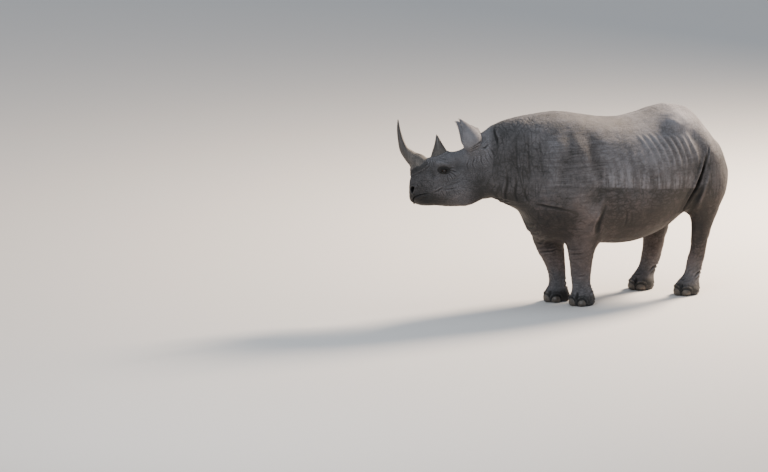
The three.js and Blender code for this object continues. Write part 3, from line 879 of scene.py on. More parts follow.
def press_mouth(clay, side):
    line = [clay.on_skin(in_head(ahead, side * out, up)) for ahead, out, up in MOUTH]
    clay.fold(line, 0.0042, 0.0130, lip=0.0062, over=UP * 0.8 + HEAD_AHEAD * 0.6, taper=(0.10, 0.45),
              shade=1.4)
    below = [place - UP * 0.020 - HEAD_AHEAD * 0.006 for place in line[2:6]]
    clay.ridge([clay.on_skin(place) for place in below], 0.014, 0.004)


def press_nostril(clay, side):
    """A deep opening with a thick rim, on the front corner of the muzzle."""
    middle = clay.on_face(side, 0.270, -0.160)
    out = (HEAD_SIDE * side * 0.86 + HEAD_AHEAD * 0.5).normalized()
    front = (HEAD_AHEAD - out * HEAD_AHEAD.dot(out)).normalized()
    rise = out.cross(front)
    if rise.z < 0:
        rise = -rise
    away = clay.points - np.array(middle)
    rows = np.nonzero(lengths(away) < 0.09)[0]
    a, v = turned(away[rows] @ np.array(front), away[rows] @ np.array(rise), math.radians(24))
    a = a + 9 * v**2  # bent like a comma
    far = np.hypot(a / 0.0185, v / 0.028)
    faces_out = step(-0.1, 0.3, clay.normals[rows] @ np.array(out))
    deep = -0.036 * (1 - step(0.45, 1.0, far)) + 0.0060 * hill(far - 1.30, 0.28)
    clay.points[rows] += np.array(out) * (deep * faces_out)[:, None]
    # Painted shade inside the nostril.
    clay.darken(rows, 1.6 * (1 - step(0.75, 1.1, far)) * faces_out)
    set_points(clay.piece, clay.points)


def seat_horns(clay, horns):
    """Raises a rough roll of skin round each horn."""
    reach = 0.45
    for tree in horns:
        low = np.array(MID_EYES) - reach
        rows = np.nonzero(((clay.points > low) & (clay.points < low + 2 * reach)).all(1))[0]
        ahead, _, up = face_axes(clay.points[rows], 1)
        rows = rows[(ahead > -0.08) & (up > -0.06)]
        far, _ = distance_to(tree, clay.points[rows], 0.045)
        uneven = 1 + 0.6 * noise(clay.points[rows] * 30, 51)
        clay.height[rows] += (0.0042 * hill(far - 0.003, 0.008) - 0.0014 * hill(far - 0.018, 0.006)) * uneven
        # Painted shade where the skin meets each horn.
        clay.darken(rows, 0.35 * hill(far, 0.004))


def ear_folds(clay, side_name):
    """The bulb at the root of the ear, and the creases that fan out from it."""
    side = SIDES[side_name]
    root, _, axis, forwards, across = ear_axes(side_name)
    out = across * (side if across.dot(HEAD_SIDE) > 0 else -side)

    def spoke(turn):
        return out * math.cos(turn) + forwards * math.sin(turn)

    for angle in (-78, -50, -30, -6, 16, 34, 62):
        way, bent = spoke(math.radians(angle)), spoke(math.radians(angle + 9))
        steps = ((way, 0.098, 0.028), (way, 0.112, 0.055), (bent, 0.126, 0.085),
                 (bent, 0.134, 0.115 + 0.02 * (angle % 4)))
        places = [clay.on_skin(root + ray * far - axis * drop) for ray, far, drop in steps]
        clay.fold(places, 0.0060, 0.0030, lip=0.0018, taper=0.4, shade=0.45)
    for rise, strong in ((-0.012, 1.0), (0.016, 0.6)):
        ring = [clay.on_skin(root + axis * rise + spoke(turn) * 0.12) for turn in np.linspace(-1.7, 1.0, 7)]
        clay.fold(ring, 0.0080, 0.0060 * strong, lip=0.0030 * strong, taper=0.4)


def neck_folds(clay, side):
    """The creases of one side of the neck."""
    body = partial(clay.along_flank, side)
    # Behind the ear, over the nape.
    nape = [clay.on_skin(in_body(-0.735, 0.055, 1.60)), *body((-0.735, 1.50), (-0.742, 1.44), (-0.75, 1.36))]
    clay.fold(nape, 0.011, 0.011, lip=0.006, over=-AHEAD, taper=0.45, shade=0.6)
    # Between the jaw and the neck, from the throat up.
    throat = ((-0.735, 1.0, 1.20), (-0.685, 0.9, 1.26), (-0.625, 0.7, 1.22), (-0.56, 0.5, 1.12))
    for station, strong, top in throat:
        line = body((station + 0.05, 0.905), (station, 0.98), (station - 0.008, 1.08), (station - 0.02, top))
        clay.fold(line, 0.012, 0.008 * strong, lip=0.005 * strong, over=AHEAD, taper=(0.2, 0.6), shade=0.8)
    # Soft rolls down the neck before the shoulder.
    for station, strong in ((-0.62, 0.8), (-0.53, 1.0), (-0.44, 0.7)):
        line = body((station + 0.02, 1.50), (station, 1.38), (station - 0.01, 1.24), (station + 0.01, 1.08))
        clay.ridge(line, 0.030, -0.007 * strong)
        clay.fold(line, 0.008, 0.0030 * strong, lip=0.0015, shade=0.4)


def trunk_forms(clay, side):
    """The large soft forms of one side of the trunk."""
    body = partial(clay.along_flank, side)
    # Shoulder blade: its front edge, spine and hind edge.
    clay.ridge(body((-0.30, 1.50), (-0.33, 1.32), (-0.36, 1.14), (-0.37, 0.98)), 0.050, 0.010)
    clay.ridge(body((-0.17, 1.52), (-0.20, 1.34), (-0.23, 1.14)), 0.045, -0.007)
    clay.ridge(body((-0.02, 1.50), (0.02, 1.32), (0.05, 1.14), (0.07, 0.98)), 0.060, -0.013)
    clay.ridge(body((-0.09, 1.40), (-0.06, 1.22), (-0.02, 1.04), (0.0, 0.90)), 0.050, 0.008)
    # The arm's muscle and the elbow.
    clay.mound(clay.on_flank(side, -0.16, 0.96), 0.10, 0.012)
    clay.mound(clay.on_flank(side, -0.02, 0.80), 0.06, 0.012)
    # Hip bone, the hollow before it and the haunch.
    clay.ridge(body((0.770, 1.505), (0.835, 1.460), (0.890, 1.400)), 0.042, 0.018, taper=0.5)
    clay.ridge(body((0.90, 1.46), (0.99, 1.34), (1.06, 1.22), (1.09, 1.10)), 0.05, -0.010)
    clay.mound(clay.on_flank(side, 1.20, 1.16), 0.10, 0.010)
    # Ribs.
    for i in range(8):
        station = 0.44 + 0.062 * i
        strong = 1 - abs(i - 4) / 7
        line = body((station, 1.43 - 0.006 * i), (station + 0.050, 1.35), (station + 0.088, 1.27),
                    (station + 0.120, 1.17), (station + 0.128, 1.07))
        clay.ridge(line, 0.016, 0.0100 * strong, taper=0.25)
    for i in range(5):
        station = 0.12 + 0.075 * i
        line = body((station, 1.34), (station + 0.03, 1.22), (station + 0.045, 1.08), (station + 0.03, 0.95))
        clay.ridge(line, 0.022, 0.0035)
    # The belly's lower edge.
    clay.ridge(body((0.30, 0.60), (0.52, 0.63), (0.72, 0.70)), 0.05, 0.006)


def trunk_folds(clay, side):
    """The folds and creases of one side of the trunk."""
    body = partial(clay.along_flank, side)
    # The flank hangs over the thigh, whose tendon stands out behind the fold.
    flank = body((1.102, 1.225), (1.080, 1.143), (1.034, 1.013), (0.986, 0.898), (0.948, 0.815),
                 (0.915, 0.745), (0.890, 0.690))
    clay.ridge(flank, 0.065, -0.014, taper=0.25)
    clay.fold(flank, 0.010, 0.040, lip=0.016, over=AHEAD, taper=(0.30, 0.10), shade=1.8, flare=2.4)
    thigh = body((1.040, 0.960), (1.000, 0.870), (0.965, 0.790), (0.950, 0.720), (0.950, 0.650))
    behind = [place + Vector((0.028, 0, 0)) for place in thigh]
    clay.fold(behind, 0.018, 0.018, taper=0.3, shade=1.5, flare=1.5)
    clay.fold(body((1.128, 1.255), (1.105, 1.18), (1.082, 1.10)), 0.007, 0.0040, lip=0.003, shade=0.6)
    clay.ridge(body((1.125, 1.10), (1.094, 1.000), (1.050, 0.870), (1.034, 0.760), (1.030, 0.68)),
               0.020, 0.016)
    # Behind the elbow, down to the armpit.
    clay.fold(body((0.112, 0.900), (0.088, 0.840), (0.056, 0.775), (0.036, 0.715), (0.034, 0.660),
                   (0.046, 0.610)),
              0.010, 0.024, lip=0.008, over=AHEAD, taper=(0.95, 0.18), shade=1.2, flare=2.8)
    clay.ridge(body((0.085, 1.00), (0.060, 0.90), (0.024, 0.80), (0.004, 0.70)), 0.026, 0.008)
    clay.fold(body((0.258, 0.86), (0.285, 0.78), (0.290, 0.70), (0.280, 0.63)),
              0.010, 0.0030, lip=0.002, taper=0.45, shade=0.5)
    clay.fold(body((0.315, 0.80), (0.335, 0.73), (0.330, 0.66)),
              0.009, 0.0022, lip=0.0014, taper=0.45, shade=0.4)
    # Over the top of the foreleg, and beneath it.
    clay.fold(body((-0.50, 0.905), (-0.418, 0.887), (-0.312, 0.860), (-0.215, 0.835), (-0.13, 0.820)),
              0.012, 0.011, lip=0.008, over=UP, taper=(0.3, 0.7), shade=0.7)
    clay.strokes(lambda a, b: clay.on_flank(side, -0.41 + 0.22 * a, 0.86 - 0.05 * a - 0.13 * b),
                 4, 0.07, 0.0090, 0.0022, 231 + side)
    # Low creases over the forearm.
    clay.strokes(lambda a, b: clay.on_flank(side, -0.24 + 0.22 * b, 0.79 - 0.12 * a),
                 3, 0.15, 0.0070, 0.0026, 241 + side)
    # The buttock.
    clay.ridge(body((1.16, 1.42), (1.20, 1.28), (1.19, 1.12)), 0.035, -0.006)


def middle_forms(clay):
    """Forms on the middle line: the back, the brisket's folds, the throat and the fold round the tail."""
    back = [clay.on_skin(in_body(st, 0, 1.75)) for st in (0.35, 0.60, 0.80, 0.98)]
    clay.ridge(back, 0.030, 0.006)
    brisket = ((-0.50, 0.735, 1.0), (-0.45, 0.665, 1.2), (-0.37, 0.615, 1.1), (-0.29, 0.575, 0.8))
    for station, height, strong in brisket:
        sides = (-0.16, -0.09, 0.0, 0.09, 0.16)
        line = [clay.on_skin(in_body(station + 1.5 * s * s, s, height - 0.10 + 2.6 * s * s)) for s in sides]
        clay.fold(line, 0.012, 0.013 * strong, lip=0.008 * strong, over=UP, shade=1.0)
    for station in (-0.735, -0.690, -0.640):
        middle = 0.055 * -station / 0.735  # the throat leans to the right, as the head turns that way
        sides = (-0.12, -0.06, 0, 0.06, 0.12)
        line = [clay.on_skin(in_body(station, middle + s, 0.88)) for s in sides]
        clay.fold(line, 0.011, 0.009, lip=0.005)
    root = in_body(*TAIL["path"][0])
    ring = [clay.on_skin(root + Vector((0.05, math.cos(t) * 0.075, math.sin(t) * 0.075)))
            for t in np.linspace(-0.4, math.pi + 0.4, 9)]
    clay.fold(ring, 0.010, 0.008, lip=0.005)


def round_leg(clay, leg, back, side, height):
    """The skin near a place given back and sideways from the middle of a leg's foot, and from the floor."""
    foot = centre_of("foot_" + leg)
    return clay.on_skin(in_body(foot.x - STATION_0 + back, foot.y - SPINE_Y + side, height))


def leg_forms(clay, leg):
    """The soft forms of one leg."""
    around = partial(round_leg, clay, leg)
    side = SIDES[leg.split("_")[1]]
    if leg.startswith("front"):
        clay.ridge([around(-0.14, 0, z) for z in (0.50, 0.43, 0.36)], 0.050, 0.009)   # knee
        clay.ridge([around(0.15, 0, z) for z in (0.50, 0.42, 0.34)], 0.035, 0.007)    # pisiform
        clay.ridge([around(0.05, side * 0.14, z) for z in (0.66, 0.54, 0.42)], 0.030, -0.006)
        bands = ((0.455, 0.8), (0.415, 1.0), (0.235, 0.7))
    else:
        clay.ridge([around(0.20, 0, z) for z in (0.56, 0.50, 0.43)], 0.035, 0.012)    # point of the hock
        clay.ridge([around(0.05, side * 0.16, z) for z in (0.64, 0.52, 0.40)], 0.026, -0.008)
        clay.ridge([around(0.16, 0, z) for z in (0.44, 0.34, 0.24)], 0.022, 0.006)    # tendon
        bands = ((0.480, 0.8), (0.440, 1.0), (0.225, 0.7))
    random = np.random.default_rng(300 + LEGS.index(leg))
    for height, strong in bands:
        for _ in range(3):
            start, tilt = random.uniform(-2.0, -0.2), random.uniform(-0.012, 0.012)
            turns = np.linspace(start, start + random.uniform(0.9, 2.0), 6)
            level = height + random.uniform(-0.022, 0.022)
            line = [around(-math.cos(t) * 0.17, math.sin(t) * 0.17, level + tilt * t) for t in turns]
            size = strong * random.uniform(0.5, 1.0)
            clay.fold(line, 0.0070, 0.0036 * size, lip=0.0024 * size, shade=0.6)
    # Rings of skin above the foot, at the back of the pastern.
    for height in (0.175, 0.150):
        line = [around(math.cos(t) * 0.16, math.sin(t) * 0.16, height) for t in np.linspace(-1.5, 1.5, 7)]
        clay.fold(line, 0.0075, 0.0060, lip=0.0040, shade=0.8)


def foot_forms(clay, leg):
    """Toes parted by grooves, a roll of skin over each nail, and the edge of the sole."""
    around = partial(round_leg, clay, leg)
    for turn in (-0.52, 0.52):
        line = [around(-math.cos(turn) * (0.16 + drop), math.sin(turn) * (0.16 + drop), z)
                for z, drop in ((0.140, -0.02), (0.095, 0), (0.050, 0.02), (0.012, 0.03))]
        clay.fold(line, 0.011, 0.012, lip=0.004, taper=0.4, shade=0.9)
    ring = [around(math.cos(t) * 0.2, math.sin(t) * 0.2, 0.022) for t in np.linspace(-1.9, 1.9, 11)]
    clay.fold(ring, 0.006, 0.004, lip=0.003, shade=0.6)
    for which in ("inner", "middle", "outer"):
        node = f"nail_{leg}_{which}"
        edge = []
        for share in np.linspace(-1, 1, 9):
            turn, top = nail_edge(node, float(share))
            edge.append(foot_wall(clay.tree, node, turn, top + 0.006)[0])
        clay.fold(edge, 0.0055, 0.0045, lip=0.0055, over=UP, taper=0.1, shade=1.0)


def ear_part(points):
    """The share of each point that belongs to the ears."""
    share = np.zeros(len(points))
    for side_name in SIDES:
        rise, spoke = from_ear(side_name, points)
        share = np.maximum(share, step(0.02, 0.07, rise) * step(0.14, 0.12, lengths(spoke)))
    return share


def skin_grain(clay):
    """Creases too fine to draw one by one, each set where the skin has them."""
    points = clay.points
    station = points[:, 0] - STATION_0
    height = points[:, 2]
    head = head_part(points)
    low = 1 - step(0.40, 0.70, height)
    neck = (1 - head) * step(-0.15, -0.50, station)
    flank = (1 - head) * step(0.55, 0.95, station) * (1 - low)
    torso = (1 - head) * (1 - low)
    smooth_ears = 1 - ear_part(points)
    face = head * step(0.028, 0.05, to_eyes(points)) * smooth_ears
    clay.wrinkles(face, (0.040, 0.040, 0.020), 0.0013, 101)
    clay.wrinkles(face, (0.015, 0.015, 0.010), 0.0006, 106, thin=0.16)
    clay.wrinkles(neck, (0.050, 0.060, 0.17), 0.0024, 111, thin=0.09)
    clay.wrinkles(torso * (1 - neck * 0.7), (0.16, 0.16, 0.045), 0.0008, 121, thin=0.10)
    clay.wrinkles(torso + 0.6 * low, (0.060, 0.060, 0.040), 0.0006, 131, thin=0.14)
    clay.wrinkles(flank, (0.055, 0.070, 0.21), 0.0014, 141, thin=0.10)
    clay.wrinkles(low, (0.050, 0.050, 0.028), 0.0016, 151, thin=0.12)
    clay.height += (1 - head) * (0.0014 * noise(points * 8, 161) + 0.0006 * noise(points * 24, 162))
    clay.height += head * smooth_ears * 0.0008 * noise(points * 30, 163)
    clay.height *= 1 - 0.85 * ear_part(points)


def sculpted(piece, horns):
    clay = Sculpture(piece)
    for side in SIDES.values():
        face_forms(clay, side)
        trunk_forms(clay, side)
    for leg in LEGS:
        leg_forms(clay, leg)
    middle_forms(clay)
    clay.settle()
    for side_name, side in SIDES.items():
        press_nostril(clay, side)
        press_eye(clay, side_name)
    bpy.context.view_layer.update()
    clay.begin()
    for side_name, side in SIDES.items():
        face_folds(clay, side)
        crow_feet(clay, side)
        press_mouth(clay, side)
        ear_folds(clay, side_name)
        neck_folds(clay, side)
        trunk_folds(clay, side)
    for leg in LEGS:
        foot_forms(clay, leg)
    seat_horns(clay, horns)
    clay.settle()
    clay.points = seams_calmed(clay.points, clay.near, 5)
    set_points(piece, clay.points)
    clay.begin()
    skin_grain(clay)
    clay.points = clay.points + clay.normals * clay.height[:, None]
    clay.points = relaxed(clay.points, clay.near, 1)
    clay.points[:, 2] = np.maximum(clay.points[:, 2], SOLE)
    set_points(piece, clay.points)
    return clay


# ---- Eyes -----------------------------------------------------------------------------------------------


def eye(side_name, rings=40, around=56):
    """An eyeball in rings round its gaze, with the cornea's bulge and each point's tilt from the gaze."""
    centre, radius, gaze = eye_axes(side_name)
    right = UP.cross(gaze).normalized()
    over = gaze.cross(right)
    made = []
    for tilt in np.linspace(math.pi - 0.02, 0.02, rings):
        bulge = radius - 0.0005 + 0.0012 * hill(tilt, 0.5)
        turn = np.linspace(0, 2 * math.pi, around, endpoint=False)
        ring = np.outer(np.cos(turn), right) + np.outer(np.sin(turn), over)
        made.append(np.array(centre) + bulge * (ring * math.sin(tilt) + np.array(gaze) * math.cos(tilt)))
    ball = loft("eyeball_" + side_name, made)
    away = points_of(ball) - np.array(centre)
    tilt = np.degrees(np.arccos(np.clip(away @ np.array(gaze) / lengths(away), -1, 1)))
    write(ball, "tilt", tilt / 90)
    return ball


# ---- Nails ----------------------------------------------------------------------------------------------
# Broad plates that follow the front of the foot. Angles are in degrees round the foot from straight ahead.

NAIL = {
    "half": {"inner": 21, "middle": 24, "outer": 21},
    "top": {"inner": 0.060, "middle": 0.070, "outer": 0.060},
    "thick": 0.009, "deep": 0.012, "foot": 0.004,
}


@cache
def nail_place(node):
    """The middle of the foot, the angle at which a nail stands, from its CAD node, and which nail it is."""
    _, end, side, which = node.split("_")
    foot = centre_of(f"foot_{end}_{side}")
    seat = centre_of(node)
    middle = Vector((foot.x + 0.01, foot.y, 0))
    toe = Vector((seat.x, seat.y, 0)) - middle
    return middle, math.atan2(toe.y, -toe.x), which


def nail_edge(node, share):
    """The nail's angle and the height of its upper edge, from one side (-1) to the other (1)."""
    _, turn, which = nail_place(node)
    height = NAIL["top"][which] * (0.35 + 0.65 * (1 - abs(share) ** 2.4) ** 0.5)
    return turn + math.radians(NAIL["half"][which]) * share, height


def foot_wall(tree, node, turn, height):
    """Where a level ray from the middle of the foot leaves it."""
    middle = nail_place(node)[0]
    way = Vector((-math.cos(turn), math.sin(turn), 0))
    hit = tree.ray_cast(middle + way * 0.03 + UP * max(height, 0.008), way, 0.2)[0]
    return (hit if hit is not None else middle + way * 0.11), way


def nail(node, tree, across=44, rows=40):
    """A plate on the foot's wall, thickest in its middle, with a worn foot and rings of growth."""
    seed = NAILS.index(node)
    shares = np.linspace(-1, 1, across)
    flat = shares * 0
    wear = 0.0016 * noise(np.stack([shares * 1.6 + seed * 5, flat, flat], 1) + 0.3, 61)
    rings = []
    for rise in np.linspace(0, 1, rows):
        growth = 0.0005 * noise(np.stack([shares * 0.5 + seed, flat + rise * 9, flat], 1) + 0.4, 62)
        outer, inner = [], []
        for share, worn, ring in zip(shares.tolist(), wear.tolist(), growth.tolist()):
            turn, top = nail_edge(node, share)
            height = NAIL["foot"] + worn + (top - NAIL["foot"]) * float(rise)
            wall, way = foot_wall(tree, node, turn, height)
            wall = Vector((wall.x, wall.y, height))
            edge = (1 - abs(share) ** 5) * (1 - rise**4)
            outer.append(wall + way * (NAIL["thick"] * (1 - 0.35 * rise) * edge - 0.003 * (1 - edge) + ring))
            inner.append(wall - way * NAIL["deep"])
        rings.append([tuple(p) for p in outer + inner[::-1]])
    made = loft(node + "_plate", rings)
    set_points(made, relaxed(points_of(made), Neighbours(made), 3, back=0))
    return made


# ---- Hair -----------------------------------------------------------------------------------------------


HAIR_SIDES = 3


def hairs(name, strands, sides=HAIR_SIDES):
    """One mesh of tapered strands, each a list of (point, radius), with each strand's root."""
    vertices, faces, roots = [], [], []
    for index, strand in enumerate(strands):
        line = np.array([tuple(p) for p, _ in strand])
        along = unit(np.gradient(line, axis=0))
        across = unit(np.cross(along, (0.31, 0.22, 0.92)))  # any way that no hair grows
        over = np.cross(along, across)
        base = len(vertices)
        for i, (_, radius) in enumerate(strand):
            for k in range(sides):
                turn = 2 * math.pi * k / sides
                vertices.append(line[i] + radius * (across[i] * math.cos(turn) + over[i] * math.sin(turn)))
        for i in range(len(strand) - 1):
            for k in range(sides):
                low, following = base + i * sides, (k + 1) % sides
                faces.append((low + k, low + following, low + sides + following, low + sides + k))
        last = base + (len(strand) - 1) * sides
        faces.append(tuple(base + k for k in reversed(range(sides))))
        faces.append(tuple(last + k for k in range(sides)))
        roots += [index] * (len(strand) * sides)
    made = object_from(name, vertices, faces)
    write(made, "along", np.concatenate([np.repeat(np.linspace(0, 1, len(s)), sides) for s in strands]))
    write(made, "strand", np.modf(np.array(roots) * 0.618034)[0])
    return made, [Vector(s[0][0]) for s in strands], roots


def strand(root, way, length, radius, bend, steps=6):
    """A hair from its root along a way, turning towards `bend` as it grows."""
    points = []
    place = Vector(root)
    for i in range(steps):
        share = i / (steps - 1)
        points.append((place.copy(), radius * (1 - share) ** 0.8 + 0.00006))
        heading = (Vector(way) * (1 - share) + Vector(bend) * share).normalized()
        place += heading * (length / (steps - 1))
    return points


def ear_hairs(side_name):
    """A short fringe on the ear's rim, longest near the tip."""
    random = np.random.default_rng(71 + SIDES[side_name])
    root, tip, axis, forwards, across = ear_axes(side_name)
    made = []
    for edge in (-1, 1):
        for share in np.linspace(0.20, 0.995, 210):
            share = float(share + random.uniform(-0.004, 0.004))
            radius, spread = (float(v) for v in eased(EAR["rings"], [share])[0])
            angle = math.pi + edge * math.radians(spread)
            out = forwards * math.cos(angle) + across * math.sin(angle)
            half = min(EAR["wall"], radius * 0.6) / 2
            place = root + (tip - root) * share + out * (radius - half + random.uniform(-0.6, 0.6) * half)
            edgeways = (across * math.cos(angle) - forwards * math.sin(angle)) * edge
            way = edgeways + axis * random.uniform(0.6, 1.3) + out * random.normal(0, 0.25)
            bend = axis * 1.2 + edgeways * 0.3 + out * random.normal(0, 0.3)
            length = (0.007 + 0.012 * share**2) * random.uniform(0.7, 1.25)
            made.append(strand(place - edgeways * 0.001, way.normalized(), length, 0.00055, bend, 5))
    return made


def tail_hairs():
    """Stiff bristles down both edges of the tail's last third."""
    random = np.random.default_rng(73)
    line, along = tail_line()
    last = TAIL["flesh"][-1][0]
    made = []
    for _ in range(430):
        share = float(0.64 + (last - 0.645) * random.uniform(0, 1) ** 0.7)
        row = int(share * (len(line) - 1))
        long, wide = (float(v) for v in eased(TAIL["flesh"], [share])[0])
        turn = random.choice((0, math.pi)) + random.normal(0, 0.55)
        out = np.cross((0, 1, 0), along[row])
        out = Vector(out / np.linalg.norm(out))
        side = Vector((0, 1, 0))
        spoke = out * math.cos(turn) + side * math.sin(turn)
        place = Vector(line[row]) + out * math.cos(turn) * long * 0.9 + side * math.sin(turn) * wide * 0.9
        down = Vector(along[row])
        length = random.uniform(0.07, 0.13) + 0.05 * step(0.75, 0.84, share)
        way = (down + spoke * random.uniform(0.25, 0.5)).normalized()
        bend = down * 1.2 - UP * 0.3 + spoke * random.normal(0, 0.10) + side * random.normal(0, 0.08)
        made.append(strand(place, way, float(length), 0.0009, bend.normalized(), 7))
    return made


def lashes(side_name, skin_tree):
    """Short lashes, longest in the middle of the upper lid."""
    random = np.random.default_rng(79 + SIDES[side_name])
    centre, _, gaze = eye_axes(side_name)
    ahead = (HEAD_AHEAD - gaze * HEAD_AHEAD.dot(gaze)).normalized()
    made = []
    for over, count, long in ((True, 44, 0.016), (False, 26, 0.009)):
        for share in np.linspace(-0.92, 0.92, count):
            share = float(share + random.uniform(-0.02, 0.02))
            bow = max(0.0, 1 - share * share)
            v = LIDS["upper"] * bow**0.7 + 0.0028 if over else -LIDS["lower"] * bow**0.8 - 0.0026
            a, v = turned(share * LIDS["half"], v, math.radians(LIDS["tilt"]))
            start = centre + ahead * a + UP * v + gaze * 0.06
            hit = skin_tree.ray_cast(start, -gaze)[0]
            if hit is None:
                continue
            lift = UP * (1 if over else -1)
            way = (gaze + lift * (0.25 if over else 0.5) + ahead * share * 0.5).normalized()
            bend = (gaze * 0.5 + lift * 0.9 + ahead * (share * 0.6 + random.normal(0, 0.15))).normalized()
            length = long * (0.6 + 0.4 * bow) * random.uniform(0.75, 1.15)
            made.append(strand(hit - gaze * 0.001, way, length, 0.00042, bend, 6))
    return made


# ---- The skin's unwrap ----------------------------------------------------------------------------------

UV_NAME = "OFBake"
LEG_PART, TAIL_PART, EAR_PART = 6, 10, 11  # the first numbers of these parts
WAYS = 6        # a chart faces one way of six
MARGIN = 0.004  # between charts, as a share of the map
PATCH = 0.003   # a tuft's patch


def corners_of(piece):
    return read_all(piece.data.loops, "vertex_index", np.int32)


def map_of(piece, places):
    layer = piece.data.uv_layers.new(name=UV_NAME)
    layer.uv.foreach_set("vector", places.astype(np.float32).ravel())


def body_part(middle, facing):
    """Which part of the body each face is on, as a number: so that no chart holds two parts that overlap."""
    ahead, out, _ = face_axes(middle, 1)
    station = middle[:, 0] - STATION_0
    part = np.where(ahead > -0.36, 0, np.where(station < 0.3, 1, 2)) * 2
    part += np.where(ahead > -0.36, out > 0, middle[:, 1] > SPINE_Y)
    for index, leg in enumerate(LEGS):
        low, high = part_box("leg_" + leg)
        flat = middle[:, :2]
        close = (flat > np.array(low)[:2] - 0.03).all(1) & (flat < np.array(high)[:2] + 0.03).all(1)
        part[close & (middle[:, 2] < high.z - 0.02)] = LEG_PART + index
        near_foot = np.hypot(*(flat - np.array(centre_of("foot_" + leg))[:2]).T) < 0.25
        part[(middle[:, 2] < 0.30) & near_foot] = LEG_PART + index
    for place in tail_line(60)[0][4:]:
        part[lengths(middle - place) < 0.048] = TAIL_PART
    for index, side_name in enumerate(SIDES):
        rise, spoke = from_ear(side_name, middle)
        close = (rise > 0.03) & (lengths(spoke) < 0.125) & (rise < 0.32)
        part[close] = EAR_PART + 2 * index + ((spoke * facing).sum(1) > 0)[close]
    return part


def chart_keys(piece, points, normals):
    """A number for each face: its part of the body, and the way that the smooth skin faces there."""
    corners = corners_of(piece)
    starts = read_all(piece.data.polygons, "loop_start", np.int32)
    sizes = np.diff(np.r_[starts, len(corners)])
    middle = np.add.reduceat(points[corners], starts) / sizes[:, None]
    facing = np.add.reduceat(normals[corners], starts)
    way = np.abs(facing).argmax(1)
    sign = facing[np.arange(len(facing)), way] > 0
    return body_part(middle, facing) * WAYS + way * 2 + sign, corners, sizes


def packed(charts):
    """Sets (high, wide) charts in rows in the smallest square found: its side, and each chart's corner."""
    side = math.sqrt(sum(high * wide for high, wide, _, _ in charts))
    while True:
        gap = side * MARGIN
        x = y = gap
        row_high = 0
        spots = []
        for high, wide, _, _ in charts:
            if x + wide + gap > side:
                x, y, row_high = gap, y + row_high + gap, 0
            spots.append((x, y))
            x += wide + gap
            row_high = max(row_high, high)
        if y + row_high + gap <= side and max(wide for _, wide, _, _ in charts) + 2 * gap < side:
            return side, spots
        side *= 1.02


def unwrap(piece, points, normals):
    """Lays each chart flat from the side it faces, and packs the charts in rows."""
    keys, corners, sizes = chart_keys(piece, points, normals)
    face_of = np.repeat(np.arange(len(sizes)), sizes)
    places = np.zeros((len(corners), 2))
    charts = []
    for key in np.unique(keys):
        rows = np.nonzero(keys[face_of] == key)[0]
        way = key % WAYS // 2
        flat = np.delete(points[corners[rows]], way, axis=1)
        flat -= flat.min(0)
        wide, high = flat.max(0)
        if high > wide:
            flat = flat[:, ::-1]
            wide, high = high, wide
        charts.append((high, wide, rows, flat))
    charts.sort(key=lambda chart: -chart[0])
    side, spots = packed(charts)
    for (_, _, rows, flat), spot in zip(charts, spots):
        places[rows] = (flat + spot) / side
    map_of(piece, places)
    at_vertex = np.zeros((len(points), 2))
    at_vertex[corners] = places
    return at_vertex


def place_tufts(piece, roots, strand_of, tree, skin, at_vertex):
    """Gives each strand a small patch of the map at its root's place on the skin."""
    faces = [tree.find_nearest(root)[2] for root in roots]
    spots = at_vertex[[skin.data.polygons[face].vertices[0] for face in faces]]
    strand_of = np.array(strand_of)
    row = np.arange(len(strand_of)) - np.searchsorted(strand_of, strand_of)
    most_rings = 7
    within = np.stack([row % HAIR_SIDES / HAIR_SIDES, row // HAIR_SIDES / most_rings], 1)
    places = spots[strand_of] + (within - 0.5) * PATCH
    map_of(piece, np.clip(places[corners_of(piece)], 0, 1))


# ---- Materials ------------------------------------------------------------------------------------------


